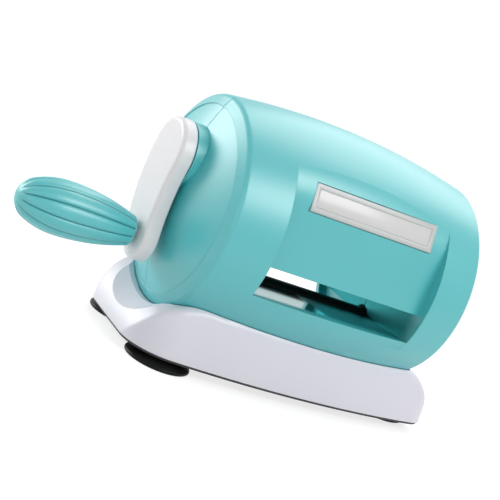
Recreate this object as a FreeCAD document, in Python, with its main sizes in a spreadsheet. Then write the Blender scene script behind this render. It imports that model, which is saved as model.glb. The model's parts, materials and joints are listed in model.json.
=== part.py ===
import FreeCAD, Part
import math
import os
import re
import Sketcher
from FreeCAD import Rotation, Vector

# A hand-cranked die cutting machine. Every piece is drawn in one machine frame: X runs along the barrel from
# the left wall of the feed slot, Y points to the back and Z points up from the barrel's axis. Each finished
# piece is then set on the table, with the origin below the middle of the machine.

SIZES = (
    ("foot_height", 5.9, "base's lower edge above the table"),
    ("datum_x", -14.25, "left wall of the feed slot, from the middle of the machine"),
    ("barrel_radius", 54.35, "case radius at the crown of its long curve"),
    ("barrel_arc", 385.0, "radius of the case's long curve"),
    ("barrel_crown", 33.0, "crown of the long curve, right of the slot's left wall"),
    ("barrel_left", 26.4, "left end ring, left of the slot's left wall"),
    ("barrel_right", 107.8, "right end, right of the slot's left wall"),
    ("barrel_edge", 3.0, "rounding of the case's end edges"),
    ("ring_width", 5.0, "left end ring, at its inner edge's place along the case"),
    ("ring_lean", 3.0, "left end ring's outer edge, right of its inner edge"),
    ("dome_radius", 121.4, "radius of the left dome"),
    ("dome_reach", 34.5, "crown of the left dome, left of the slot's left wall"),
    ("end_ring_width", 7.01, "right end ring"),
    ("end_dome", 200.0, "radius of the right dome"),
    ("shell_wall", 2.5, "wall of the case"),
    ("seam_gap", 0.3, "gap between the two case halves"),
    ("slot_width", 86.0, "feed slot from wall to wall"),
    ("slot_roof", 8.3, "slot roof below the barrel axis"),
    ("slot_floor", 21.9, "slot floor at its mouth, below the barrel axis"),
    ("slot_drop", 4.1, "how far the slot floor falls from its mouth to the rollers"),
    ("ramp_length", 45.5, "falling length of the slot floor"),
    ("rear_floor", 34.0, "floor behind the rollers, below the barrel axis"),
    ("exit_margin", 4.0, "how much narrower the exit is at each side"),
    ("panel_sink", 9.85, "lower edge of the front panel, behind the barrel's foremost line"),
    ("panel_lean", 2.5, "lean of the front panel, degrees"),
    ("panel_round", 26.0, "rounding of the panel's top edge into the barrel"),
    ("panel_blend", 0.3, "how far outside the barrel that rounding ends"),
    ("label_left", 11.05, "label's left edge from the slot's left wall"),
    ("label_rise", 29.47, "label's lower edge above the slot roof"),
    ("label_set_back", 0.2, "label's lower edge behind the panel's lower edge"),
    ("label_lean", 17.25, "lean of the label, degrees"),
    ("label_width", 66.5, "label length"),
    ("label_height", 12.95, "label height"),
    ("label_thick", 1.6, "label plate in its pocket"),
    ("label_gap", 0.15, "gap between the label and the edge of its pocket"),
    ("label_rim", 2.4, "rim round the label's insert"),
    ("label_recess", 0.5, "depth of the insert's seat"),
    ("post_radius", 4.0, "screw posts in the case"),
    ("post_left", 19.0, "left posts, left of the slot's left wall"),
    ("post_left_inset", 9.74, "left posts inside the left end's radius"),
    ("post_right", 100.0, "right posts, right of the slot's left wall"),
    ("post_right_inset", 11.01, "right posts inside the right end's radius"),
    ("shell_screw_radius", 1.5, "case screw shank"),
    ("shell_screw_reach", 14.0, "case screw length each side of the seam"),
    ("screw_fit", 0.08, "gap round a screw shank"),
    ("screw_spare", 1.0, "room past the end of a screw"),
    ("head_ratio", 2.0, "screw head radius over shank radius"),
    ("head_height", 2.4, "screw head height"),
    ("frame_thick", 3.0, "side frame plate"),
    ("frame_gap", 0.5, "gap between the slot walls and the side frames"),
    ("frame_side", 30.0, "half width of a side frame"),
    ("frame_rise", 34.0, "top of a side frame above the axis"),
    ("frame_fit", 0.3, "gap between a side frame and the case"),
    ("bar_radius", 4.0, "tie bar"),
    ("lower_bar_side", 12.0, "lower tie bars in front of and behind the axis"),
    ("lower_bar_inset", 13.35, "lower tie bars above the barrel's lowest line"),
    ("upper_bar_side", 14.0, "upper tie bars in front of and behind the axis"),
    ("upper_bar_rise", 28.0, "upper tie bars above the axis"),
    ("bar_screw_radius", 2.0, "tie bar screw shank"),
    ("bar_screw_depth", 10.0, "tie bar screw thread in the bar"),
    ("gear_module", 1.0, "gear module"),
    ("pinion_teeth", 15.0, "teeth of the crank pinion"),
    ("drive_teeth", 30.0, "teeth of the drive gear on the upper roller"),
    ("coupling_teeth", 24.0, "teeth of each gear that couples the rollers"),
    ("gear_width", 7.0, "face width of the gears"),
    ("gear_gap", 0.5, "side gap between gears"),
    ("gear_backlash", 0.2, "play between meshing teeth"),
    ("pressure_angle", 20.0, "pressure angle of the teeth, degrees"),
    ("roller_radius", 5.2, "outside of a roller sleeve"),
    ("roller_core", 3.0, "roller shaft"),
    ("roller_gap", 1.3, "gap between a roller and the slot's walls"),
    ("sleeve_overlap", 2.0, "sleeve length inside each slot wall"),
    ("shaft_tail", 5.0, "shaft left over past a side frame"),
    ("bush_wall", 2.0, "wall of a bush"),
    ("bush_flange", 1.0, "flange of a bush"),
    ("flange_step", 2.0, "flange radius past the bush wall"),
    ("running_fit", 0.05, "gap round a turning shaft"),
    ("seat_fit", 0.02, "gap round a seated piece"),
    ("clip_thick", 1.0, "retaining clip"),
    ("clip_rim", 2.2, "clip radius past its shaft"),
    ("clip_groove", 0.5, "depth of a clip groove"),
    ("crank_rise", 18.5, "crank axis above the barrel axis"),
    ("crank_core", 4.0, "crank shaft"),
    ("collar_radius", 15.0, "crank collar"),
    ("collar_spigot", 11.0, "collar's spigot in the case"),
    ("collar_reach", 36.0, "collar face, left of the slot's left wall"),
    ("collar_inner", 25.0, "spigot end, left of the slot's left wall"),
    ("arm_gap", 0.5, "gap between the collar and the crank arm"),
    ("arm_thick", 7.3, "crank arm"),
    ("arm_round", 2.2, "rounding of the arm's outer edge"),
    ("arm_inner_round", 0.73, "rounding of the arm's inner edge"),
    ("hub_radius", 15.3, "upper end of the arm"),
    ("lobe_radius", 11.9, "lower end of the arm"),
    ("waist_radius", 70.0, "hollow front side of the arm"),
    ("spine_radius", 63.0, "full rear side of the arm"),
    ("crank_throw", 39.9, "grip axis below the crank axis at rest"),
    ("grip_forward", 4.5, "grip axis in front of the crank axis at rest"),
    ("socket_depth", 5.0, "shaft and spindle sockets in the arm"),
    ("grip_gap", 2.0, "gap between the arm and the grip"),
    ("grip_length", 56.2, "grip"),
    ("grip_belly", 33.9, "widest place of the grip from its inner end"),
    ("grip_radius", 12.6, "grip at its widest place"),
    ("grip_side_arc", 104.0, "long curve of the grip"),
    ("grip_tip_arc", 40.0, "curve of the grip's shoulder"),
    ("groove_count", 11.0, "grooves round the grip"),
    ("groove_width", 1.1, "groove width"),
    ("groove_depth", 0.7, "groove depth"),
    ("groove_start", 2.5, "plain length at the grip's inner end"),
    ("groove_end", 1.2, "plain length at the grip's tip"),
    ("spindle_core", 3.5, "grip spindle"),
    ("spindle_reach", 30.0, "spindle length inside the grip"),
    ("spindle_head", 1.3, "head of the spindle past its radius"),
    ("spindle_head_length", 3.0, "length of the spindle's head"),
    ("spindle_play", 0.3, "gap round the spindle's head"),
    ("base_floor", 8.95, "base's lower edge below the barrel's lowest line"),
    ("cradle_rise", 16.85, "base's top above the barrel's lowest line"),
    ("base_left", 38.0, "base's lower left edge, left of the slot's left wall"),
    ("base_right", 130.5, "base's lower right edge, right of the slot's left wall"),
    ("base_inset", 12.35, "base's lower edge at its widest place, inside the barrel's radius"),
    ("base_belly", 20.0, "widest place of the base, right of the slot's left wall"),
    ("base_arc", 385.0, "radius of the base's long sides, seen from above"),
    ("base_end_arc", 30.0, "rounding of the base's two ends, seen from the side"),
    ("base_side_lean", 3.8, "how far the long walls lean in"),
    ("base_left_corner", 22.0, "left corners, seen from above"),
    ("base_right_corner", 14.0, "right corners, seen from above"),
    ("base_edge", 4.0, "rounding of the base's top edges"),
    ("cradle_flare", 0.62, "how fast the cradle widens past the barrel's left end"),
    ("base_wall", 3.0, "wall of the base"),
    ("base_gap", 0.3, "gap between the cradle and the barrel"),
    ("base_screw_radius", 1.9, "base screw shank"),
    ("base_screw_left", 15.0, "left base screws, right of the slot's left wall"),
    ("base_screw_right", 71.0, "right base screws, right of the slot's left wall"),
    ("base_screw_wall", 2.65, "seat of the base screw heads below the barrel's lowest line"),
    ("plate_thick", 1.2, "bottom plate"),
    ("plate_inset", 0.8, "bottom plate inside the base's edge"),
    ("plate_screw_radius", 1.4, "plate screw shank"),
    ("plate_screw_depth", 9.0, "plate screw length in the base"),
    ("plate_left", 8.0, "left plate screws, right of the slot's left wall"),
    ("plate_left_inset", 14.0, "left plate screws inside the base's widest place"),
    ("plate_right", 92.0, "right plate screws, right of the slot's left wall"),
    ("plate_right_inset", 17.0, "right plate screws inside the base's widest place"),
    ("cup_radius", 15.7, "suction cup"),
    ("cup_rim", 2.2, "width of the rim below a suction cup"),
    ("cup_bevel", 0.8, "bevel of the rim's outer edges"),
    ("cup_lip", 2.4, "height of the rim"),
    ("cup_hollow", 2.2, "hollow below a suction cup"),
    ("cup_neck", 13.7, "neck of a suction cup"),
    ("cup_stem", 4.0, "stem of a suction cup"),
    ("cup_knob", 6.0, "knob that holds a cup in the bottom plate"),
    ("cup_knob_height", 2.0, "height of that knob"),
    ("cup_left", 19.2, "left cups, left of the slot's left wall"),
    ("cup_inset", 15.0, "left cups inside the base's widest place"),
    ("cup_right", 113.5, "right cup, right of the slot's left wall"),
    ("cup_front", 4.0, "right cup, in front of the middle plane"),
)

# Sizes that follow from others, as formulas of the sheet.
FOLLOWING = (
    ("left_radius", "barrel_radius - barrel_arc + sqrt(barrel_arc ^ 2 - (barrel_crown + barrel_left) ^ 2)",
     "case radius at its left end"),
    ("right_radius", "barrel_radius - barrel_arc + sqrt(barrel_arc ^ 2 - (barrel_right - barrel_crown) ^ 2)",
     "case radius at its right end"),
    ("ring_radius", "left_radius - ring_width", "inner edge of the left end ring"),
    ("end_ring", "right_radius - end_ring_width", "inner edge of the right end ring"),
    ("panel_depth", "barrel_radius - panel_sink", "lower edge of the front panel, in front of the axis"),
    ("label_depth", "panel_depth - label_set_back", "lower edge of the label's face, in front of the axis"),
    ("post_left_rise", "left_radius - post_left_inset", "left posts above and below the axis"),
    ("post_right_rise", "right_radius - post_right_inset", "right posts above and below the axis"),
    ("lower_bar_drop", "barrel_radius - lower_bar_inset", "lower tie bars below the axis"),
    ("base_bottom", "barrel_radius + base_floor", "base's lower edge below the axis"),
    ("base_top", "barrel_radius - cradle_rise", "base's top below the axis"),
    ("base_side", "barrel_radius - base_inset", "half width of the base's lower edge at its widest place"),
    ("base_screw_seat", "barrel_radius + base_screw_wall", "seat of the base screw heads below the axis"),
    ("plate_left_side", "base_side - plate_left_inset", "left plate screws from the middle plane"),
    ("plate_right_side", "base_side - plate_right_inset", "right plate screws from the middle plane"),
    ("cup_side", "base_side - cup_inset", "left cups from the middle plane"),
    ("axis_height", "base_bottom + foot_height", "barrel axis above the table"),
    ("grip_front", "grip_length - grip_belly", "grip from its widest place to its tip"),
    ("grip_drop", "grip_tip_arc - grip_radius", "centre of the shoulder's curve, below the grip's axis"),
    ("grip_nose", "(grip_tip_arc ^ 2 - grip_front ^ 2 - grip_drop ^ 2) / (2 * (grip_tip_arc - grip_front))",
     "radius of the grip's nose"),
)

REACH = "3 * barrel_radius"
UPPER_Z = "(crank_rise - gear_module * (pinion_teeth + drive_teeth) / 2)"
LOWER_Z = "(crank_rise - gear_module * (pinion_teeth + drive_teeth) / 2 - gear_module * coupling_teeth)"
FRAME_LEFT = "(-shell_wall - frame_gap - frame_thick)"
FRAME_RIGHT = "(slot_width + shell_wall + frame_gap)"
COUPLING_LEFT = "(-shell_wall - frame_gap - frame_thick - bush_flange - gear_gap - gear_width)"
DRIVE_LEFT = "(-shell_wall - frame_gap - frame_thick - bush_flange - 2 * gear_gap - 2 * gear_width)"
ARM_OUTER = "(-collar_reach - arm_gap - arm_thick)"
GRIP_Z = "(crank_rise - crank_throw)"
PLATE_BOTTOM = "(-base_bottom - plate_thick)"
OVERSHOOT = "1"  # how far a cutting form runs past what it cuts, in mm
SAME_PLACE = 0.01  # edges nearer than this to a place lie on it, in mm

AXIS_TURNS = {
    "X": Rotation(Vector(0, 1, 0), 90),
    "Y": Rotation(Vector(1, 0, 0), -90),
    "Z": Rotation(),
}

doc = FreeCAD.newDocument("DieCuttingMachine")
sheet = doc.addObject("Spreadsheet::Sheet", "Dims")
size = {}
rows = [(alias, str(number), meaning) for alias, number, meaning in SIZES]
rows += [(alias, "=" + text, meaning) for alias, text, meaning in FOLLOWING]
for row, (alias, content, meaning) in enumerate(rows, start=1):
    sheet.set("A%d" % row, meaning)
    sheet.set("B%d" % row, content)
    sheet.setAlias("B%d" % row, alias)
doc.recompute()
for alias, content, meaning in rows:
    size[alias] = float(getattr(sheet, alias))

parts = {}


def formula(text):
    """Point the size names in a formula at the sheet."""
    return re.sub(r"[a-z_]+", lambda m: "Dims." + m.group(0) if m.group(0) in size else m.group(0), text)


def bind(item, **formulas):
    for name, text in formulas.items():
        item.setExpression(name.replace("__", "."), formula(text))


def place(item, x="0", y="0", z="0"):
    bind(item, Placement__Base__x=x, Placement__Base__y=y, Placement__Base__z=z)
    return item


def cylinder(name, axis, radius, length, x="0", y="0", z="0"):
    item = doc.addObject("Part::Cylinder", name)
    item.Placement.Rotation = AXIS_TURNS[axis]
    bind(item, Radius=radius, Height=length)
    return place(item, x, y, z)


def box(name, length, width, height, x="0", y="0", z="0"):
    item = doc.addObject("Part::Box", name)
    bind(item, Length=length, Width=width, Height=height)
    return place(item, x, y, z)


def fuse(name, items):
    item = doc.addObject("Part::MultiFuse", name)
    item.Shapes = items
    return item


def common(name, items):
    item = doc.addObject("Part::MultiCommon", name)
    item.Shapes = items
    return item


def cut(name, base, tools):
    item = doc.addObject("Part::Cut", name)
    item.Base = base
    item.Tool = tools[0] if len(tools) == 1 else fuse(name + "Tools", tools)
    return item


def group(name, items):
    item = doc.addObject("Part::Compound", name)
    item.Links = items
    return item


def finish(label, item):
    """Set a finished piece on the table under its own name."""
    item.Label = label
    place(item, "datum_x", "0", "axis_height")
    parts[label] = item
    return item


def finish_alone(label, item):
    return finish(label, group(label + "_piece", [item]))


def new_body(name):
    return doc.addObject("PartDesign::Body", name)


def sketch_on(body, role):
    plane = next(item for item in body.Origin.OriginFeatures if item.Role == role)
    sketch = body.newObject("Sketcher::SketchObject", body.Name + "Sketch")
    sketch.AttachmentSupport = [(plane, "")]
    sketch.MapMode = "FlatFace"
    return sketch


def line(sketch, start, end):
    return sketch.addGeometry(Part.LineSegment(Vector(*start, 0), Vector(*end, 0)), False)


def arc(sketch, start, middle, end):
    return sketch.addGeometry(Part.Arc(Vector(*start, 0), Vector(*middle, 0), Vector(*end, 0)), False)


def tie(sketch, kind, *where):
    return sketch.addConstraint(Sketcher.Constraint(kind, *where))


def measure(sketch, kind, text, *where):
    """Add a dimension and bind it to a formula."""
    index = tie(sketch, kind, *where)
    sketch.setExpression("Constraints[%d]" % index, formula(text))


ORIGIN = (-1, 1)
FLAT_AXIS = -1
UPRIGHT_AXIS = -2
START, END, CENTRE = 1, 2, 3


def revolve(body, sketch, axis):
    turn = body.newObject("PartDesign::Revolution", body.Name + "Turn")
    turn.Profile = sketch
    turn.ReferenceAxis = (sketch, [axis])
    turn.Angle = 360
    return turn


def fillet(body, name, radius, chosen):
    """Round the edges of the body that the test picks."""
    doc.recompute()
    base = body.Tip
    edges = enumerate(base.Shape.Edges, start=1)
    names = ["Edge%d" % i for i, edge in edges if not edge.Degenerated and chosen(edge)]
    item = body.newObject("PartDesign::Fillet", name)
    item.Base = (base, names)
    bind(item, Radius=radius)
    return item


def arc_points(centre, radius, first, last):
    """Start, middle and end of an arc round a centre, between two angles in radians."""
    angles = (first, (first + last) / 2, last)
    return [(centre[0] + radius * math.cos(a), centre[1] + radius * math.sin(a)) for a in angles]


# The barrel's form. One half outline, set in or out, gives the case's outside, its inside and the cradle.

def barrel_form(name, inset):
    """Solid of revolution on the barrel's axis; inset is a pair: its formula and its size."""
    text, depth = inset
    s = size
    body = new_body(name)
    sketch = sketch_on(body, "XZ_Plane")
    dome = s["dome_radius"] - depth
    dome_centre = s["dome_radius"] - s["dome_reach"]
    dome_angle = math.asin(s["ring_radius"] / dome)
    dome_edge = (dome_centre - dome * math.cos(dome_angle), s["ring_radius"])
    left = -s["barrel_left"] + depth
    shoulder = left + s["ring_lean"]
    right = s["barrel_right"] - depth
    long_arc = s["barrel_arc"] - depth
    long_centre = (s["barrel_crown"], s["barrel_radius"] - s["barrel_arc"])
    first = math.acos((shoulder - long_centre[0]) / long_arc)
    last = math.acos((right - long_centre[0]) / long_arc)
    top = arc_points(long_centre, long_arc, first, last)
    end = s["end_dome"] - depth
    end_angle = math.asin(s["end_ring"] / end)
    end_centre = right - end * math.cos(end_angle)

    dome_arc = arc(sketch, *arc_points((dome_centre, 0), dome, math.pi, math.pi - dome_angle))
    step = line(sketch, dome_edge, (left, s["ring_radius"]))
    ring = line(sketch, (left, s["ring_radius"]), top[0])
    back = arc(sketch, *top)
    wall = line(sketch, top[2], (right, s["end_ring"]))
    cap = arc(sketch, *arc_points((end_centre, 0), end, end_angle, 0))
    floor = line(sketch, (end_centre + end, 0), (dome_centre - dome, 0))

    # Arcs run anticlockwise, so an arc drawn the other way round starts at its far end.
    tie(sketch, "Coincident", dome_arc, START, step, START)
    tie(sketch, "Coincident", step, END, ring, START)
    tie(sketch, "Coincident", ring, END, back, END)
    tie(sketch, "Coincident", back, START, wall, START)
    tie(sketch, "Coincident", wall, END, cap, END)
    tie(sketch, "Coincident", cap, START, floor, START)
    tie(sketch, "Coincident", floor, END, dome_arc, END)
    tie(sketch, "Horizontal", step)
    tie(sketch, "Vertical", wall)
    tie(sketch, "PointOnObject", dome_arc, CENTRE, FLAT_AXIS)
    tie(sketch, "PointOnObject", dome_arc, END, FLAT_AXIS)
    tie(sketch, "PointOnObject", cap, CENTRE, FLAT_AXIS)
    tie(sketch, "PointOnObject", cap, START, FLAT_AXIS)
    measure(sketch, "Radius", "dome_radius - (%s)" % text, dome_arc, dome)
    measure(sketch, "DistanceX", "dome_radius - dome_reach", *ORIGIN, dome_arc, CENTRE, dome_centre)
    measure(sketch, "DistanceY", "ring_radius", *ORIGIN, step, START, s["ring_radius"])
    measure(sketch, "DistanceX", "-barrel_left + (%s)" % text, *ORIGIN, ring, START, left)
    measure(sketch, "DistanceX", "ring_lean - barrel_left + (%s)" % text, *ORIGIN, ring, END, shoulder)
    measure(sketch, "Radius", "barrel_arc - (%s)" % text, back, long_arc)
    measure(sketch, "DistanceX", "barrel_crown", *ORIGIN, back, CENTRE, long_centre[0])
    measure(sketch, "DistanceY", "barrel_radius - barrel_arc", *ORIGIN, back, CENTRE, long_centre[1])
    measure(sketch, "DistanceX", "barrel_right - (%s)" % text, *ORIGIN, wall, START, right)
    measure(sketch, "DistanceY", "end_ring", *ORIGIN, wall, END, s["end_ring"])
    measure(sketch, "Radius", "end_dome - (%s)" % text, cap, end)
    revolve(body, sketch, "H_Axis")
    return body


def end_edge(edge):
    """The two outermost round edges of the barrel."""
    curve = edge.Curve
    if not isinstance(curve, Part.Circle):
        return False
    if abs(curve.Center.x + size["barrel_left"] - size["ring_lean"]) < SAME_PLACE:
        return curve.Radius > size["ring_radius"] + SAME_PLACE
    at_right = abs(curve.Center.x - size["barrel_right"]) < SAME_PLACE
    return at_right and curve.Radius > size["end_ring"] + SAME_PLACE


outside = barrel_form("CaseOutside", ("0", 0.0))
fillet(outside, "CaseEdges", "barrel_edge", end_edge)
inside = barrel_form("CaseInside", ("shell_wall", size["shell_wall"]))
cradle_depth = -size["base_gap"]
cradle = barrel_form("CradleForm", ("-base_gap", cradle_depth))
deck = barrel_form("DeckForm", ("-base_gap - base_wall", cradle_depth - size["base_wall"]))


# The front panel makes a flat in the barrel above the slot's roof. Its top edge is rounded into the barrel.
# The label leans back more than the panel and sits in a pocket of its own.

PANEL = ("panel_lean", "-panel_depth", "-slot_roof")
LABEL = ("label_lean", "-label_depth", "label_rise - slot_roof")


def leaning_box(name, face, length, depth, height, x, out, up):
    """Box on a leaning face; out is how far in front of the face its back lies, up how far above its foot."""
    lean, foot_y, foot_z = face
    item = doc.addObject("Part::Box", name)
    item.Placement.Rotation = Rotation(Vector(1, 0, 0), -size[lean])
    bind(item, Length=length, Width=depth, Height=height, Placement__Rotation__Angle="-" + lean)
    back = "((%s) + (%s))" % (out, depth)
    angle = "(%s * 1deg)" % lean
    y = "%s - %s * cos(%s) + (%s) * sin(%s)" % (foot_y, back, angle, up, angle)
    z = "%s + %s * sin(%s) + (%s) * cos(%s)" % (foot_z, back, angle, up, angle)
    return place(item, x, y, z)


BELOW_ROOF = "-(slot_floor - slot_roof) / 2"


def panel_cut(name, inset, depth, margin):
    """What the panel takes away at a depth below the case's outside; margin lies past the slot's walls."""
    form = barrel_form(name + "Form", ("%s - panel_blend" % inset, depth - size["panel_blend"]))
    behind = leaning_box(name + "Behind", PANEL, "slot_width + 2 * (%s + shell_wall)" % margin, REACH,
                         "2 * " + REACH, "-(%s) - shell_wall" % margin, "-%s - (%s)" % (REACH, inset),
                         "-" + REACH)
    behind_form = common(name + "Flat", [form, behind])
    core = new_body(name + "Core")
    doc.recompute()
    core.BaseFeature = behind_form

    def top_edge(edge):
        box_size = edge.BoundBox
        return box_size.XLength > size["slot_width"] and box_size.ZMin > 0 and box_size.YMax < 0

    fillet(core, name + "Round", "panel_round - (%s)" % inset, top_edge)
    block = leaning_box(name + "Block", PANEL, "slot_width + 2 * (%s)" % margin,
                        "barrel_radius + panel_round", "2 * barrel_radius", "-(%s)" % margin, "-panel_round",
                        BELOW_ROOF)
    return cut(name, block, [core])


recess = panel_cut("Recess", "0", 0.0, "0")
recess_wall = panel_cut("RecessWall", "shell_wall", size["shell_wall"], "shell_wall")
label_pocket = leaning_box("LabelPocket", LABEL, "label_width + 2 * label_gap", "barrel_radius",
                           "label_height + 2 * label_gap", "label_left - label_gap", "-label_thick",
                           "-label_gap")
pocket_wall = leaning_box("PocketWall", LABEL, "label_width + 2 * shell_wall", "barrel_radius",
                          "label_height + 2 * shell_wall", "label_left - shell_wall",
                          "-label_thick - shell_wall", "-shell_wall")
solid_case = cut("SolidCase", outside, [recess, label_pocket])
cavity = cut("Cavity", inside, [recess_wall, pocket_wall])
skin = cut("Skin", solid_case, [cavity])


# The two halves of the case. Each holds its half of the tunnel behind the feed slot and its screw posts.

def half_space(name, front):
    y = "-(%s)" % REACH if front else "seam_gap / 2"
    return box(name, "2 * (%s)" % REACH, "%s - seam_gap / 2" % REACH, "2 * (%s)" % REACH,
               "-(%s)" % REACH, y, "-(%s)" % REACH)


def tunnel_block(name, floor):
    """Outside of the tunnel, with its walls."""
    height = "%s - slot_roof + 2 * shell_wall" % floor
    return box(name, "slot_width + 2 * shell_wall", "2 * (%s)" % REACH, height, "-shell_wall",
               "-(%s)" % REACH, "-%s - shell_wall" % floor)


def tunnel_bore(name, floor, margin):
    return box(name, "slot_width - 2 * (%s)" % margin, "2 * (%s)" % REACH, "%s - slot_roof" % floor,
               margin, "-(%s)" % REACH, "-" + floor)


POSTS = (
    ("-post_left", "post_left_rise"),
    ("-post_left", "-post_left_rise"),
    ("post_right", "post_right_rise"),
    ("post_right", "-post_right_rise"),
)
BASE_SCREWS = tuple((x, side + "lower_bar_side") for x in ("base_screw_left", "base_screw_right")
                    for side in ("-", ""))


def slot_ramp(name):
    """Room above the falling floor of the slot."""
    item = box(name, "slot_width", "2 * ramp_length", "(slot_floor - slot_roof) / 2", "0", "-ramp_length",
               "-slot_floor")
    fall = math.degrees(math.atan(size["slot_drop"] / size["ramp_length"]))
    item.Placement.Rotation = Rotation(Vector(1, 0, 0), -fall)
    bind(item, Placement__Rotation__Angle="-atan(slot_drop / ramp_length)")
    return item


def roller_room(name, z):
    length = "slot_width + 4 * shell_wall"
    return cylinder(name, "X", "roller_radius + roller_gap", length, "-2 * shell_wall", "0", z)


def case_half(label, front):
    tag = "Front" if front else "Rear"
    half = half_space(tag + "Half", front)
    floor = "(slot_floor + slot_drop)" if front else "rear_floor"
    posts = []
    holes = []
    for i, (x, z) in enumerate(POSTS):
        posts.append(cylinder("%sPost%d" % (tag, i), "Y", "post_radius", "2 * (%s)" % REACH, x,
                              "-(%s)" % REACH, z))
        bore = "shell_screw_radius + screw_fit"
        holes.append(cylinder("%sBore%d" % (tag, i), "Y", bore, "2 * shell_screw_reach + " + OVERSHOOT, x,
                              "-shell_screw_reach - " + OVERSHOOT, z))
        if not front:
            sink = "shell_screw_radius * head_ratio + 2 * screw_fit"
            holes.append(cylinder("%sSink%d" % (tag, i), "Y", sink, REACH, x, "shell_screw_reach", z))
    for i, (x, y) in enumerate(BASE_SCREWS):
        post_top = "(-lower_bar_drop - bar_radius - screw_fit)"
        posts.append(cylinder("%sFootPost%d" % (tag, i), "Z", "post_radius", "barrel_radius", x, y,
                              "%s - barrel_radius" % post_top))
        holes.append(cylinder("%sFootBore%d" % (tag, i), "Z", "base_screw_radius + screw_fit",
                              "barrel_radius", x, y, "-lower_bar_drop - barrel_radius"))
    rib_forms = fuse(tag + "RibForms", posts + [tunnel_block(tag + "Tunnel", floor)])
    ribs = common(tag + "Ribs", [rib_forms, solid_case])
    if front:
        openings = [tunnel_bore("FrontSlot", "slot_floor", "0"), slot_ramp("FrontRamp")]
    else:
        openings = [
            common("RearRoom", [tunnel_bore("RearTunnelBore", floor, "0"), inside]),
            tunnel_bore("RearSlot", floor, "exit_margin"),
        ]
    openings.append(roller_room(tag + "UpperRoom", UPPER_Z))
    openings.append(roller_room(tag + "LowerRoom", LOWER_Z))
    openings.append(cylinder(tag + "CrankHole", "X", "collar_spigot + seat_fit", "dome_reach",
                             "-dome_reach - " + OVERSHOOT, "0", "crank_rise"))
    whole = cut(tag + "Whole", fuse(tag + "Walls", [skin, ribs]), openings + holes)
    return finish(label, common(tag + "Shell", [whole, half]))


case_half("front_shell", True)
case_half("rear_shell", False)


# Screws: a shank and a round head that sits outside the seat.

def screw(name, axis, radius, length, x, y, z, head_first):
    """Screw along an axis from its lower end; head_first puts the head below the shank."""
    shank = cylinder(name + "Shank", axis, radius, length, x, y, z)
    start = {"X": x, "Y": y, "Z": z}
    start[axis] = "%s - head_height" % start[axis] if head_first else "%s + %s" % (start[axis], length)
    head = cylinder(name + "Head", axis, "(%s) * head_ratio" % radius, "head_height", start["X"], start["Y"],
                    start["Z"])
    return fuse(name, [shank, head])


shell_screws = [screw("ShellScrew%d" % i, "Y", "shell_screw_radius", "2 * shell_screw_reach", x,
                      "-shell_screw_reach", z, False) for i, (x, z) in enumerate(POSTS)]
finish("shell_screws", group("ShellScrews", shell_screws))


# The label: a plate that fills its pocket, with a shallow seat and a flat insert in it, both left bare.
label_block = leaning_box("LabelBlock", LABEL, "label_width", "2 * label_thick", "label_height", "label_left",
                          "-2 * label_thick", "0")
label_seat = leaning_box("LabelSeat", LABEL, "label_width - 2 * label_rim", "label_thick",
                         "label_height - 2 * label_rim", "label_left + label_rim", "-label_recess",
                         "label_rim")
finish("label_plate", cut("LabelPlate", label_block, [solid_case, label_seat]))
INSERT_RIM = "(label_rim + seat_fit)"
label_insert = leaning_box("LabelInsert", LABEL, "label_width - 2 * " + INSERT_RIM, "label_recess / 2",
                           "label_height - 2 * " + INSERT_RIM, "label_left + " + INSERT_RIM,
                           "-label_recess", INSERT_RIM)
finish_alone("label_insert", label_insert)


# The side frames, trimmed to the inside of the case, with the bushes that carry the shafts.

TIE_BARS = (
    ("-lower_bar_side", "-lower_bar_drop"),
    ("lower_bar_side", "-lower_bar_drop"),
    ("-upper_bar_side", "upper_bar_rise"),
    ("upper_bar_side", "upper_bar_rise"),
)


def case_radius_inside(x):
    """Inside radius of the case at a distance along the barrel."""
    half_chord = "(barrel_crown - (%s))" % x
    return "(barrel_radius - barrel_arc + sqrt((barrel_arc - shell_wall) ^ 2 - %s ^ 2))" % half_chord


def side_frame(label, tag, x, far_side, shafts):
    disc = cylinder(tag + "Disc", "X", case_radius_inside(far_side) + " - frame_fit", "frame_thick", x)
    sheet_metal = box(tag + "Sheet", "frame_thick", "2 * frame_side", "2 * frame_side + frame_rise", x,
                      "-frame_side", "-2 * frame_side")
    through = "frame_thick + 2 * " + OVERSHOOT
    hole_x = "%s - %s" % (x, OVERSHOOT)
    bush_seat = "%s + running_fit + bush_wall + seat_fit"
    holes = [cylinder("%sBushHole%d" % (tag, i), "X", bush_seat % core, through, hole_x, "0", z)
             for i, (core, z) in enumerate(shafts)]
    holes += [cylinder("%sBarHole%d" % (tag, i), "X", "bar_screw_radius + screw_fit", through, hole_x, y, z)
              for i, (y, z) in enumerate(TIE_BARS)]
    return finish(label, cut(tag + "Frame", common(tag + "Blank", [disc, sheet_metal]), holes))


def bush(label, tag, core, x, z, flange_left):
    """Bush through a side frame, with its flange on the outer face."""
    flange_x = "%s - bush_flange" % x if flange_left else "%s + frame_thick" % x
    sleeve = cylinder(tag + "Sleeve", "X", "%s + running_fit + bush_wall" % core, "frame_thick", x, "0", z)
    flange = cylinder(tag + "Flange", "X", "%s + running_fit + bush_wall + flange_step" % core, "bush_flange",
                      flange_x, "0", z)
    bore = cylinder(tag + "Bore", "X", "%s + running_fit" % core, "frame_thick + 4 * bush_flange",
                    "%s - 2 * bush_flange" % x, "0", z)
    return finish(label, cut(tag, fuse(tag + "Form", [sleeve, flange]), [bore]))


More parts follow.
